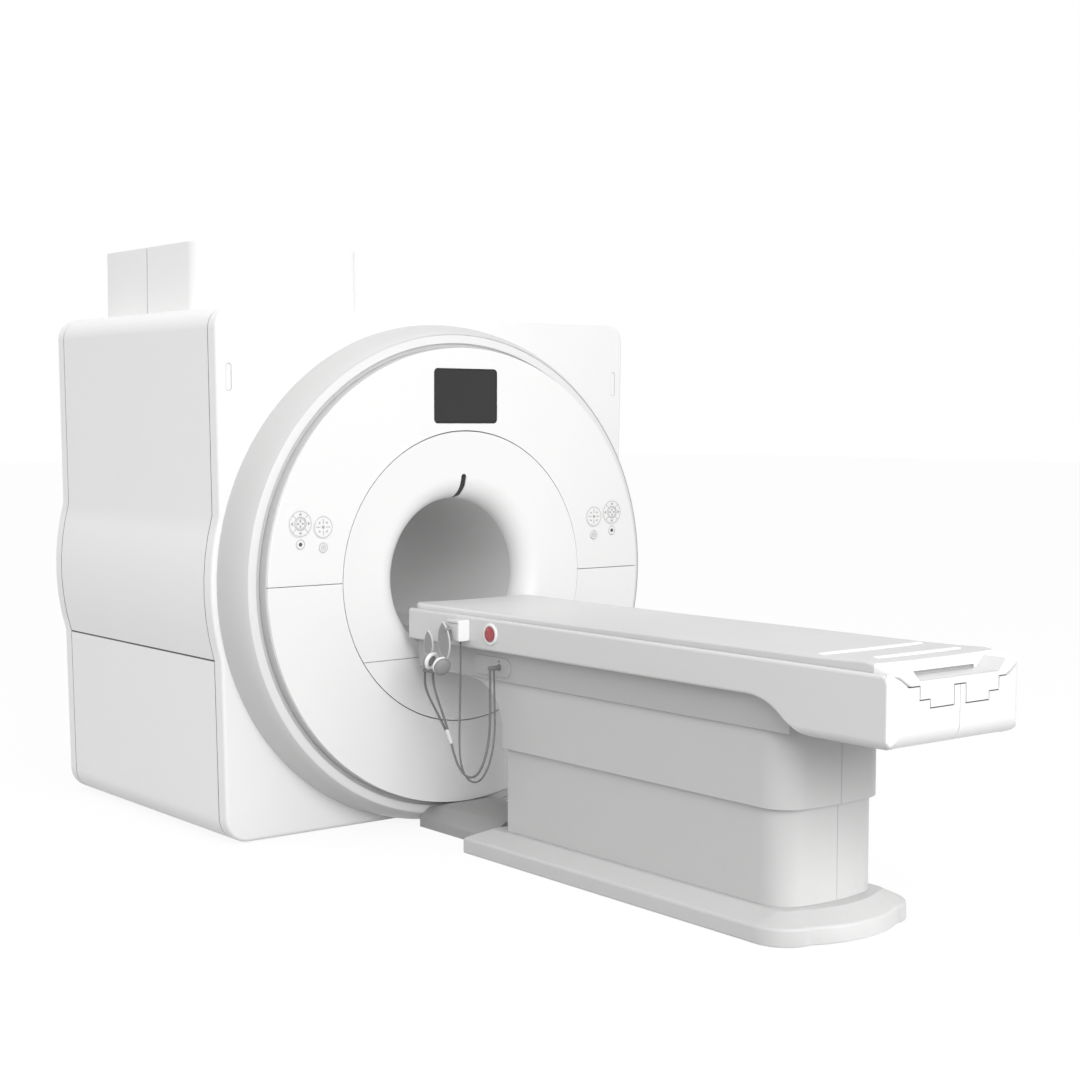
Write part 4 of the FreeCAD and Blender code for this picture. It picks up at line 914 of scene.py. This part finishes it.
def half_disc(direction):
    """Outline of the disc's upper (1) or lower (-1) half, round the mouth."""
    level = BORE_HEIGHT + SEAM * direction
    outer = circle(0, level, DISC_RADIUS, 240)
    inner = circle(0, level, MOUTH_RADIUS + SEAM, 160)
    keep = [point for point in outer if (point.y - level) * direction >= -1e-5]
    hole = [point for point in inner if (point.y - level) * direction >= -1e-5]
    keep.sort(key=lambda point: point.x)
    hole.sort(key=lambda point: -point.x)
    return keep + hole


holes = [(screen_shape(-KEY_GAP), 0.016)]
for across, up, radius in KEYS.values():
    for side in (-1, 1):
        holes.append((circle(across * side, up, radius + KEY_GAP, 48), 0.017))
on_gantry("disc_upper", slab("y", half_disc(1), DISC_FACE, FRONT, 0.002, holes=holes),
          ["fascia_upper"])
on_gantry("disc_lower", slab("y", half_disc(-1), DISC_FACE, FRONT, 0.002), ["fascia_lower"])
# A grey band round the disc's edge paints the shade that the ring's lip casts into the groove.
on_gantry("disc_band", turned("y", BORE_AXIS, [
    (0.9372, -0.9010), (0.9386, -0.9010), (0.9396, -0.9000), (0.9396, -0.8530), (0.9372, -0.8530),
], count=256), finish="ring_grey")
tell("disc")

# %% [markdown]
# ## Screen and keys
# The screen is a pane in a thin dark frame. Each side of the disc has a big ring pad round a centre
# key, a smaller pad, and two round keys. Their marks could be a picture laid on the keys, but a
# picture blurs from near by and needs a file. So the marks are thin raised lines, as in a membrane
# pad: four arrows and four spokes on the ring pad, strokes round a dot on the small one, a dot and
# a lamp on the keys.

# %% Screen
SCREEN_RIM = 0.006
inside = (SCREEN[0] + SCREEN_RIM, SCREEN[1] + SCREEN_RIM, SCREEN[2] - SCREEN_RIM,
          SCREEN[3] - SCREEN_RIM, 0.013)
on_gantry("screen_frame", slab("y", rounded_box(*SCREEN), DISC_FACE - 0.0008, DISC_FACE + 0.0155,
                               0.001, holes=[(rounded_box(*inside), 0.003)]), finish="window_dark")
on_gantry("screen_pane", slab("y", screen_shape(SCREEN_RIM + 0.0003), DISC_FACE - 0.0004,
                              DISC_FACE + 0.0026, 0.0006), ["display_screen"], "screen_dark")
tell("screen")

# %% Several solids as one


def joined(solids):
    """Several meshes as one."""
    whole = bmesh.new()
    for solid in solids:
        part = bpy.data.meshes.new("part")
        solid.to_mesh(part)
        solid.free()
        whole.from_mesh(part)
        bpy.data.meshes.remove(part)
    return whole


def around(centre, points, angle):
    """Points about a centre, turned by an angle in degrees."""
    turn = Matrix.Rotation(math.radians(angle), 2)
    return [Vector(centre) + turn @ Vector(point) for point in points]


# %% Lines and shapes on a key
KEY_FACE = DISC_FACE - 0.0016
KEY_BACK = DISC_FACE + 0.014
LINE = 0.0022
MARK = 0.0004


def hoop(centre, radius, width=LINE):
    """A thin raised circle on a key."""
    return slab("y", circle(*centre, radius, 48), KEY_FACE - MARK, KEY_FACE,
                holes=[(circle(*centre, radius - width, 48), None)])


def stroke(centre, points, angle=0):
    """A small raised shape on a key."""
    return slab("y", around(centre, points, angle), KEY_FACE - MARK, KEY_FACE)


def bar(start, end, width=LINE):
    """Corners of a straight line on a key, from one distance from its centre to another."""
    return [(start, -width / 2), (end, -width / 2), (end, width / 2), (start, width / 2)]


def arrow(tip, size):
    """Corners of an arrow head whose tip is at a distance from the key's centre."""
    return [(tip, 0), (tip - size, size * 0.75), (tip - size, -size * 0.75)]


# %% Keys and their marks


def key_marks(name, centre):
    """The marks of one key, as a list of solids."""
    quarters = (0, 90, 180, 270)
    if name == "pad_ring":
        return ([hoop(centre, 0.0495), hoop(centre, 0.0275)]
                + [stroke(centre, bar(0.028, 0.048), turn + 45) for turn in quarters]
                + [stroke(centre, arrow(0.044, 0.011), turn) for turn in quarters])
    if name == "pad_centre":
        return [hoop(centre, 0.0215)] + [
            stroke(centre, [(0.004, 0), (0.010, -0.005), (0.018, 0), (0.010, 0.005)], turn)
            for turn in quarters]
    if name == "pad_small":
        return ([hoop(centre, 0.0415), stroke(centre, circle(0, 0, 0.0065, 24))]
                + [stroke(centre, bar(0.013, 0.032, 0.003), turn) for turn in quarters]
                + [stroke(centre, arrow(0.029, 0.008), turn + 45) for turn in quarters])
    if name == "key_outer":
        return [hoop(centre, 0.0192)]
    return [hoop(centre, 0.0192), hoop(centre, 0.0110),
            stroke(centre, bar(-0.006, 0.006), 90), stroke(centre, bar(-0.006, 0.006))]


key_places = dict(KEYS)
key_places["pad_centre"] = (0.793, 1.272, 0.024)
for name, (across, up, radius) in key_places.items():
    for word, side in SIDES.items():
        centre = (across * side, up)
        body = f"{name}_{word}_key"
        middle = [(circle(*centre, 0.0247, 48), None)] if name == "pad_ring" else []
        cap = slab("y", circle(*centre, radius, 64), KEY_FACE, KEY_BACK, 0.0012, holes=middle)
        piece(f"cap_{name}_{word}", cap, "key_white", body, [f"{name}_{word}"])
        piece(f"marks_{name}_{word}", joined(key_marks(name, centre)), line_grey, body)
        if name == "key_outer":
            piece(f"lamp_{word}", slab("y", circle(*centre, 0.0078, 32), KEY_FACE - 0.001,
                                       KEY_FACE + 0.0005, 0.0006), seam_shadow, body)
tell("keys")

# %% [markdown]
# ## Mouth of the bore
# From the disc the mouth runs in nearly flat, then rolls over a wide lip into the tube. The lower
# third is a piece of its own. At the top a narrow slot lets the positioning laser out. A torus sunk
# into the disc would give the roll, but not the flat and not the thickness of the sheet. So the
# whole section is one profile of lines and a quarter round, turned about the bore's axis and cut by
# a plane at the seam.

# %% Section of a mouth
MOUTH_FACE = -0.900
LIP_RADIUS = 0.100
BORE_RADIUS = 0.320
MOUTH_SEAM = 0.708


def mouth_profile(face, rim, rim_radius, towards):
    """Section of a mouth: flat from the rim, a round lip, and the back of the sheet."""
    profile = [(rim_radius, rim)]
    for part in range(19):
        angle = math.pi / 2 * part / 18
        profile.append((BORE_RADIUS + LIP_RADIUS * (1 - math.sin(angle)),
                        face + towards * LIP_RADIUS * (1 - math.cos(angle))))
    return profile + [
        (BORE_RADIUS + 0.010, face + towards * LIP_RADIUS),
        (BORE_RADIUS + 0.040, face + towards * 0.042),
        (BORE_RADIUS + 0.100, face + towards * 0.012),
        (rim_radius, rim + towards * 0.010),
    ]


# %% Cutting with another solid


def carve(made, cutter, operation="DIFFERENCE"):
    """Takes a cutter's volume out of a piece, or keeps only what both share."""
    tool_mesh = bpy.data.meshes.new("cutter")
    bmesh.ops.recalc_face_normals(cutter, faces=cutter.faces)
    cutter.to_mesh(tool_mesh)
    cutter.free()
    tool = bpy.data.objects.new("cutter", tool_mesh)
    scene.collection.objects.link(tool)
    taken = made.modifiers.new("taken_out", "BOOLEAN")
    taken.object = tool
    taken.solver = "EXACT"
    taken.operation = operation
    made.modifiers.move(len(made.modifiers) - 1, 0)
    with bpy.context.temp_override(object=made, active_object=made, selected_objects=[made]):
        bpy.ops.object.modifier_apply(modifier=taken.name)
    bpy.data.objects.remove(tool)


# %% Mouths
LASER_SLOT = (-0.013, 1.325, 0.013, 1.452, 0.0129)
front_profile = mouth_profile(MOUTH_FACE, DISC_FACE, MOUTH_RADIUS - SEAM, 1)
for word, direction in (("upper", 1), ("lower", -1)):
    half = turned("y", BORE_AXIS, front_profile, count=192)
    trim(half, (0, 0, MOUTH_SEAM + SEAM * direction), (0, 0, -direction))
    made = on_gantry(f"mouth_{word}", half, [f"funnel_{word}"])
    if word == "upper":
        carve(made, slab("y", rounded_box(*LASER_SLOT), MOUTH_FACE - 0.03, MOUTH_FACE + 0.0975))
on_gantry("mouth_rear", turned("y", BORE_AXIS, mouth_profile(REAR, REAR, 0.440, -1), count=160),
          ["rear_funnel"])
tell("mouths")

# %% [markdown]
# ## Table top
# The side panels are long plates with a soft outer edge and an S-curve down to the deep foot end.
# The end covers close the foot, cut round the cradle's stepped underside, where a dark sheet in the
# gap paints its shade. Subdivision would round the edges, but pull the S-curve off its line. So
# plates keep the drawn line, and what they share with a long rounded box gives every edge the same
# softness.

# %% Outlines of the side panels
STOP = (-1.491, 0.863)
PANEL_HALF = 0.305
PANEL_INNER = 0.2625
PANEL_GANTRY = -0.935
PANEL_FOOT = -3.445
PANEL_BOTTOM = 0.796
PANEL_TOP = 0.920
DIP_BOTTOM = 0.690
S_RADIUS = 0.23877
S_CURVE = [(-3.150, DIP_BOTTOM), (-3.000, 0.743, S_RADIUS), (-2.850, PANEL_BOTTOM, -S_RADIUS)]
PANEL_WALL = 0.012
PANEL_RIM = 0.011
PANEL_ROUND = 0.034
GANTRY_CORNER = 0.013
FOOT_CORNER = 0.030
FLANGE_TOP = 0.840
STOP_SHAFT = 0.0207
FOOT = -3.470
END_EDGE = 0.062
foot_curve = []
for part in range(7):
    drop = (PANEL_FOOT - FOOT - END_EDGE) * (1 - part / 6)
    foot_curve.append((FOOT + END_EDGE + drop,
                       DIP_BOTTOM + END_EDGE - math.sqrt(END_EDGE ** 2 - drop ** 2)))
wall = outline([(PANEL_GANTRY, PANEL_BOTTOM), (PANEL_GANTRY, PANEL_TOP - GANTRY_CORNER),
                (PANEL_GANTRY - GANTRY_CORNER, PANEL_TOP, GANTRY_CORNER),
                (PANEL_FOOT + FOOT_CORNER, PANEL_TOP),
                (PANEL_FOOT, PANEL_TOP - FOOT_CORNER, FOOT_CORNER), *foot_curve, *S_CURVE])
flange = outline([(PANEL_GANTRY, PANEL_BOTTOM), (PANEL_GANTRY, FLANGE_TOP),
                  (PANEL_FOOT, FLANGE_TOP), *foot_curve, *S_CURVE])
print("side panel:", len(wall), "points, and", len(flange), "round its flange")

# %% Side panels
shaft = [(circle(*STOP, STOP_SHAFT, 48), None)]
for word, side in SIDES.items():
    face, back, inner = (across * side
                         for across in (PANEL_HALF, PANEL_HALF - PANEL_WALL, PANEL_INNER))
    if side < 0:
        solids = [slab("x", wall, face, back, PANEL_RIM, 0, shaft), slab("x", flange, back, inner)]
    else:
        solids = [slab("x", wall, back, face, 0, PANEL_RIM), slab("x", flange, inner, back)]
    made = on_table(f"panel_{word}", joined(solids), "cover_light_grey", [f"side_panel_{word}"])
    carve(made, slab("y", rounded_box(-PANEL_HALF - 0.0001, DIP_BOTTOM - 0.0001,
                                      PANEL_HALF + 0.0001, 1.0, PANEL_ROUND), -3.5, -0.9),
          "INTERSECT")
tell("side panels")

# %% The line round the cradle
END_TOP = 0.935


def under_cradle(spare, top):
    """The line of the cradle's stepped underside a gap away from it, from right to left."""
    right = [
        (0.290 + spare, top), (0.290 + spare, 0.922 - spare), (0.235 + spare, 0.884 - spare),
        (0.186 + spare, 0.884 - spare), (0.186 + spare, 0.841 - spare),
        (0.138 + spare, 0.841 - spare), (0.138 + spare, 0.814 - spare),
        (0.030 - spare, 0.814 - spare), (0.030 - spare, 0.876 - spare),
    ]
    return right + [(-across, up) for across, up in reversed(right)]


# %% End covers of the table
END_CORNER = 0.043
END_BACK = -3.4340
end_side = outline([
    (-3.400, DIP_BOTTOM), (-3.400, END_TOP + 0.01), (FOOT, END_TOP + 0.01),
    (FOOT, DIP_BOTTOM + END_EDGE), (FOOT + END_EDGE, DIP_BOTTOM, END_EDGE),
])
for word, side in SIDES.items():
    plan = [(0.0015, END_BACK), (0.0015, FOOT), (PANEL_HALF - END_CORNER, FOOT),
            (PANEL_HALF - 0.0003, END_BACK, END_CORNER * 0.95)]
    made = on_table(f"end_{word}", slab("z", outline(plan if side > 0 else mirrored(plan)),
                                        DIP_BOTTOM, END_TOP, 0, 0.004),
                    "cover_white", [f"end_cover_{word}"])
    carve(made, slab("x", end_side, -0.4, 0.4), "INTERSECT")
    end_front = rounded_box(-PANEL_HALF, DIP_BOTTOM, PANEL_HALF, END_TOP, 0.040)
    carve(made, slab("y", end_front, -3.5, -3.4), "INTERSECT")
    carve(made, slab("y", outline(under_cradle(0.0045, END_TOP + 0.02)), FOOT - 0.01, -3.42))
    broken = made.modifiers.new("broken_edges", "BEVEL")
    broken.width = 0.0012
    broken.angle_limit = math.radians(50)
    made.modifiers.move(len(made.modifiers) - 1, 0)
# A dark strip behind the seam between the two end covers paints the shade in it.
on_table("end_seam_shade", slab("y", rectangle(-0.004, 0.735, 0.004, 0.806), FOOT + 0.006,
                            FOOT + 0.030), seam_shadow)

# %% Painted shade round the cradle
# A dark sheet in the gap round the cradle paints the shade in it.
shade_rims = []
for spare in (0.0040, 0.0010):
    shade_rim_end = (0.228, 0.884 - spare)
    shade_rims.append([shade_rim_end, *under_cradle(spare, 1)[3:-3], (-shade_rim_end[0], shade_rim_end[1])])
on_table("cradle_gap_shade", slab("y", outline(shade_rims[0] + shade_rims[1][::-1]), FOOT + 0.004, FOOT + 0.028),
         seam_shadow)
tell("foot end")

# %% [markdown]
# ## Cradle
# The board is a moulded shell on stepped runners. It could be pushed out in one go, but the real
# one is round in plan at the gantry end, and at the handle end it rises a little and falls again.
# So it is lofted: the same stepped section at every station, with its own half width and height.
# The scoop with its slanted sides and the slot for the fingers are cut out after that, and two low
# ribs cross the board before it.

# %% Height and ends of the board
HALF = 0.290
NOSE = -0.945
NOSE_CORNER = 0.050
SOFT = 0.009
CREST = [(NOSE, 0.941), (-1.9, 0.941), (-2.45, 0.944), (-2.8, 0.9455), (-3.12, 0.9465),
         (-3.24, 0.949), (-3.335, 0.953), (-3.40, 0.946), (FOOT, 0.940)]


def bow(depth, radius):
    """How far a quarter round has drawn in, at a depth from its end."""
    left_over = max(0.0, radius - depth)
    return radius - math.sqrt(radius ** 2 - left_over ** 2)


def crest(along):
    """Height of the cradle's top at a place along it."""
    for (before, low), (after, high) in zip(CREST, CREST[1:]):
        if before >= along >= after:
            return low + (high - low) * (before - along) / (before - after)
    return CREST[-1][1]


# %% Section of the board


def board_section(along, half, top, soft):
    """One station of the cradle, as points in space."""
    rise = min(soft, top - 0.9225)
    right = [
        (0.030, 0.876), (0.030, 0.814), (0.138, 0.814), (0.138, 0.841), (0.186, 0.841),
        (0.186, 0.884), (half - 0.055, 0.884), (half, 0.9165), (half, top - rise),
    ]
    for part in range(1, 7):
        angle = math.pi / 2 * part / 6
        right.append((half - soft * (1 - math.cos(angle)), top - rise * (1 - math.sin(angle))))
    right += [(half - soft - 0.02, top - 0.0004), (half * 0.6, top - 0.0020),
              (half * 0.3, top - 0.0028)]
    whole = right + [(-across, up) for across, up in reversed(right)]
    return [Vector((across, along, up)) for across, up in whole]


def lofted(sections):
    """A skin over sections with the same number of points, closed at both ends."""
    bm = bmesh.new()
    rows = [[bm.verts.new(point) for point in section] for section in sections]
    for first, second in zip(rows, rows[1:]):
        band(bm, first, second)
    lid(bm, rows[0])
    lid(bm, rows[-1])
    return bm


# %% Board
stations = []
for depth in (0, 0.0015, 0.004, 0.009, 0.018, 0.032, 0.050):
    stations.append((NOSE - depth, HALF - bow(depth, NOSE_CORNER),
                     crest(NOSE) - bow(depth, SOFT), SOFT))
for along in (-1.9, -2.45, -2.8, -3.04, -3.12, -3.18, -3.24, -3.29, -3.335, -3.36):
    stations.append((along, HALF, crest(along), SOFT))
for depth in (0.070, 0.045, 0.030, 0.018, 0.009, 0.004, 0.0015, 0):
    stations.append((FOOT + depth, HALF - bow(depth, 0.018), crest(FOOT + depth) - bow(depth, SOFT),
                     SOFT + 0.021 * min(1, (0.090 - depth) / 0.07)))
board = piece("cradle_board", lofted([board_section(*station) for station in stations]),
              "cradle_white", "patient_cradle", ["cradle"])
print("cradle board:", len(stations), "stations")

# %% Scoop and ribs
SCOOP_WALL = -3.379
scoop_rows = []
for across, up in ((0.190, 0.897), (0.254, 0.962)):
    scoop_rows.append([Vector(corner) for corner in (
        (across, SCOOP_WALL, up), (-across, SCOOP_WALL, up), (-across, FOOT - 0.02, up),
        (across, FOOT - 0.02, up))])
carve(board, lofted(scoop_rows))
carve(board, slab("z", rounded_box(-0.180, SCOOP_WALL - 0.010, 0.180, SCOOP_WALL + 0.014, 0.004),
                  0.8975, 0.911))
tray = outline([
    (0.2275, 0.9360), (0.1896, 0.8976), (-0.1896, 0.8976), (-0.2275, 0.9360), (-0.2260, 0.9360),
    (-0.1888, 0.8990), (0.1888, 0.8990), (0.2260, 0.9360),
])
piece("cradle_tray", slab("y", tray, FOOT + 0.004, SCOOP_WALL - 0.0012), "cover_light_grey",
      "patient_cradle")
RIBS = {"first": (-3.115, 0.240), "second": (-3.305, 0.198)}
for name, (place, reach) in RIBS.items():
    level = crest(place) - 0.0015
    rib = outline([(place - 0.008, level - 0.006), (place - 0.008, level + 0.001),
                   (place - 0.003, level + 0.005, -0.004), (place + 0.012, level + 0.0045),
                   (place + 0.020, level - 0.006)])
    piece(f"cradle_rib_{name}", slab("x", rib, -reach, reach, 0.002, 0.002), "key_white",
          "patient_cradle")
tell("cradle")

# %% [markdown]
# ## Fittings
# The stop button is a mushroom in a white ring. The hook box carries a peg, and both hoses go into
# a spout on the oval outlet plate under the table top. Ready-made cylinders would be quicker, but
# their knife-sharp edges catch no light, and on parts of this size the small roundings are what the
# eye sees. So they are turned from profiles and cut from rounded outlines like the large pieces.

# %% Stop button
STOP_FACE = -PANEL_HALF
on_table("stop_collar", turned("x", STOP, [
    (0.0410, STOP_FACE), (0.0410, STOP_FACE - 0.0050), (0.0400, STOP_FACE - 0.0070),
    (0.0380, STOP_FACE - 0.0080), (0.0325, STOP_FACE - 0.0080), (0.0308, STOP_FACE - 0.0070),
    (0.0304, STOP_FACE - 0.0050), (0.0304, STOP_FACE - 0.0020), (0.0203, STOP_FACE - 0.0020),
    (0.0203, STOP_FACE)], 64), "stop_white", ["stop_ring"])
piece("stop_cap", turned("x", STOP, [
    (0.0000, STOP_FACE - 0.0125), (0.0110, STOP_FACE - 0.0125), (0.0120, STOP_FACE - 0.0140),
    (0.0180, STOP_FACE - 0.0142), (0.0240, STOP_FACE - 0.0132), (0.0278, STOP_FACE - 0.0110),
    (0.0285, STOP_FACE - 0.0090), (0.0282, STOP_FACE - 0.0075), (0.0200, STOP_FACE - 0.0073),
    (0.0200, STOP_FACE - 0.0004), (0.0000, STOP_FACE - 0.0004)], 64, closed=False),
    "stop_red", "emergency_stop", ["stop_button"])
tell("stop button")

# %% Hook box
hook = on_table("hook_case", slab("x", rounded_box(-1.354, 0.824, -1.274, 0.907, 0.008),
                                  -0.360, STOP_FACE, 0.005, 0), "cover_light_grey", ["hook_box"])
carve(hook, slab("x", rectangle(-1.36, 0.8925, -1.26, 0.8955), -0.37, -0.353))
# Painted light and shade: the front that faces the lamps is white, and the grey case stands for its
# shaded sides.
on_table("hook_painted_lit_front", slab("y", rounded_box(-0.3575, 0.8255, -0.3065, 0.9055, 0.006),
                            -1.3556, -1.3520, 0.001), "cover_white")
on_table("hook_peg", turned("x", (-1.307, 0.870), [
    (0.0000, -0.3940), (0.0040, -0.3937), (0.0066, -0.3922), (0.0070, -0.3900), (0.0070, -0.3590),
    (0.0000, -0.3590)], 32, closed=False), "headset_grey")
tell("hook box")

# %% Outlet plate
SKIRT_FACE = -0.262
# The outlet plate takes the skirt's darker grey, which paints the shade under the table top.
on_table("outlet_oval", slab("x", rounded_box(-1.560, 0.696, -1.320, 0.770, 0.0369),
                             SKIRT_FACE - 0.004, SKIRT_FACE, 0.002, 0), "skirt_grey",
         ["outlet_plate"])
on_table("outlet_screw", turned("x", (-1.490, 0.756), [
    (0.0000, SKIRT_FACE - 0.0052), (0.0040, SKIRT_FACE - 0.0050), (0.0048, SKIRT_FACE - 0.0040),
    (0.0048, SKIRT_FACE - 0.0030), (0.0000, SKIRT_FACE - 0.0030)], 24, closed=False),
    "fitting_grey")
on_table("outlet_spout", turned("x", (-1.491, 0.733), [
    (0.0000, -0.3170), (0.0065, -0.3165), (0.0085, -0.3145), (0.0090, -0.3110), (0.0090, -0.2700),
    (0.0125, -0.2690), (0.0130, -0.2650), (0.0130, -0.2640), (0.0000, -0.2640)], 32, closed=False),
    "fitting_grey")
tell("outlet plate")

# %% [markdown]
# ## Headset
# The headset hangs on the peg: two cups that face each other, each with a pale cushion, and two
# leaf-shaped arms with pale edges. Each cup is turned upright, because a profile is easiest to draw
# about a plain axis, and then pointed the way the real one hangs. Placing every point where it
# hangs would give the same cup with numbers that nobody can read. The cushion is a soft ring.

# %% Cups and cushions
HEAD = -0.380


def aimed(bm, place, direction):
    """Moves a solid that was turned about Z to a place, and points it."""
    turn = Vector(direction).to_track_quat("Z", "Y").to_matrix().to_4x4()
    bmesh.ops.transform(bm, matrix=Matrix.Translation(place) @ turn, verts=bm.verts)
    return bm


CUPS = {
    "near": ((-0.390, -1.293, 0.724), (-0.16, -0.93, -0.30)),
    "far": ((-0.374, -1.186, 0.738), (-0.18, 0.93, 0.25)),
}
for word, (place, direction) in CUPS.items():
    shell = turned("z", (0, 0), [
        (0.0000, 0.0150), (0.0160, 0.0145), (0.0260, 0.0115), (0.0320, 0.0060), (0.0335, 0.0000),
        (0.0330, -0.0030), (0.0000, -0.0030)], 48, closed=False)
    on_table(f"cup_{word}", aimed(shell, place, direction), "headset_grey",
             ["headset"] if word == "near" else [])
    rim = turned("z", (0, 0), [(0.0350, 0.0020), (0.0360, 0.0000), (0.0350, -0.0025),
                               (0.0320, -0.0030), (0.0320, 0.0025)], 48)
    on_table(f"cup_rim_{word}", aimed(rim, place, direction), "headset_grey")
    cushion = turned("z", (0, 0), [
        (0.0290 + 0.0075 * math.cos(angle), -0.0110 + 0.0085 * math.sin(angle))
        for angle in (2 * math.pi * part / 16 for part in range(16))], 48)
    made = on_table(f"cushion_{word}", aimed(cushion, place, direction), "key_white")
tell("cups")

# %% Arms
LEAVES = {
    "near": [(-1.312, 0.756), (-1.281, 0.898, -0.100), (-1.281, 0.764, -0.090)],
    "far": [(-1.2060, 0.766), (-1.1830, 0.8560, -0.062), (-1.1690, 0.762, -0.075)],
}
for word, steps in LEAVES.items():
    leaf = outline(steps)
    on_table(f"arm_edge_{word}", slab("x", leaf, HEAD - 0.003, HEAD + 0.003, 0.001, 0.001),
             "ring_grey")
    on_table(f"arm_{word}", slab("x", inset(leaf, 0.003), HEAD - 0.004, HEAD + 0.004, 0.0012,
                                 0.0012), "headset_grey")
on_table("headset_fitting", slab("x", rounded_box(-1.227, 0.690, -1.155, 0.704, 0.004),
                                 HEAD - 0.006, HEAD + 0.006, 0.002, 0.002), "fitting_grey")
tell("arms")

# %% [markdown]
# ## Everything else, from the CAD
# The pedestal, the base and the inner parts keep their CAD shape. They could be modelled again, but
# their plain faces are right already. So each only gets a finish that tells a service engineer what
# it is, and broken edges, as modifiers that leave the solid's own mesh alone. The darker grey of the
# floor duct and of the skirt under the table top is painted shade. At the foot end, a narrow grey
# strip on each seam of the pedestal's covers paints the shade in it.

# %% A finish for a CAD solid


def dress(node, finish, edge=0.0, sharp=32):
    """Gives a CAD node its finish, and breaks its edges."""
    solid = nodes[node]
    if not solid.material_slots:
        solid.data.materials.append(None)
    for holder in solid.material_slots:
        holder.link = "OBJECT"
        holder.material = FINISHES[finish]
    weld = solid.modifiers.new("weld", "WELD")
    weld.merge_threshold = 1e-5
    if edge:
        joined = solid.modifiers.new("join_flat_faces", "DECIMATE")
        joined.decimate_type = "DISSOLVE"
        joined.angle_limit = math.radians(0.5)
        broken = solid.modifiers.new("broken_edges", "BEVEL")
        broken.width = edge
        broken.segments = 2
        broken.angle_limit = math.radians(sharp)
        broken.use_clamp_overlap = True
    smooth = solid.modifiers.new("flat_faces_first", "WEIGHTED_NORMAL")
    smooth.keep_sharp = True


# %% Pedestal, base and inner parts
KEPT_SOLIDS = {
    # Painted shade: the duct's grey is darker for the shade low by the floor.
    ("duct_grey", 0.003): ["floor_duct"],
    ("plate_grey", 0.008): ["base_plate"],
    ("cover_mid_grey", 0.002): ["lower_cover_left", "lower_cover_right", "middle_cover_left",
                                "middle_cover_right"],
    # Painted shade: the skirt's grey is darker for the shade under the table top.
    ("skirt_grey", 0.002): ["upper_skirt"],
    ("window_dark", 0.0): ["laser_window"],
    ("bore_white", 0.0): ["bore_liner"],
    ("cradle_white", 0.0): ["bore_bridge"],
    ("steel_frame", 0.002): ["magnet_frame", "column_outer", "column_middle", "column_inner"],
    ("vessel_steel", 0.004): ["cryostat_vessel"],
    ("vessel_steel", 0.003): ["cold_head"],
    ("coil_resin", 0.0): ["gradient_coil"],
    ("deck_metal", 0.001): ["table_frame"],
}
for (finish, edge), names in KEPT_SOLIDS.items():
    for node in names:
        dress(node, finish, edge)
    print(finish, "on", ", ".join(names))

# %% Painted shade on the pedestal's seams
PAINTED_SEAM_LINE_HALF = 0.0018
for tier, body in (("lower", "scanner_base"), ("middle", "table_middle")):
    low_corner, high_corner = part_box(f"{tier}_cover_left")
    foot_end = low_corner[1]
    # A narrow grey strip on each seam paints the shade in it.
    painted_seam_line = rectangle(-PAINTED_SEAM_LINE_HALF, low_corner[2] + 0.003, PAINTED_SEAM_LINE_HALF, high_corner[2] - 0.003)
    piece(f"bead_{tier}", slab("y", painted_seam_line, foot_end - 0.0005, foot_end + 0.004), line_grey, body)
tell("painted_seam_lines")

# %% [markdown]
# ## Hoses on their bodies
# Each hose hangs from the table top and rides with it. Its length could be written down by hand,
# but a number that is measured on the finished line can't be wrong. The splitter is a pale sleeve,
# turned like the other fittings, that closes on the three hoses.

# %% Splitter
top, bottom = Vector((HEAD, -1.309, 0.4805)), Vector((HEAD, -1.339, 0.4300))
half = (top - bottom).length / 2
sleeve = turned("z", (0, 0), [
    (0.0000, half), (0.0072, half), (0.0088, half - 0.003), (0.0090, half * 0.2), (0.0076, 0.0),
    (0.0076, -half * 0.6), (0.0068, -half), (0.0000, -half)], 32, closed=False)
splitter = on_table("splitter", aimed(sleeve, (top + bottom) / 2, top - bottom), "ring_grey",
                    ["y_piece"])
tell("splitter")


def line_length(curve):
    """Length of a curve's own smooth line."""
    line = curve.copy()
    line.data = curve.data.copy()
    line.data.bevel_depth = 0
    scene.collection.objects.link(line)
    depsgraph = bpy.context.evaluated_depsgraph_get()
    path = bpy.data.meshes.new_from_object(line.evaluated_get(depsgraph))
    places = [vertex.co.copy() for vertex in path.vertices]
    bpy.data.objects.remove(line)
    return sum((after - before).length for before, after in zip(places, places[1:]))


for name, made in hoses.items():
    radius, points = HOSES[name]
    made.data.materials.append(FINISHES["hose_grey"])
    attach(made, "table_top")
    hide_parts(name)
    length = round(line_length(made), 3)
    print(name, "is", length, "m long")
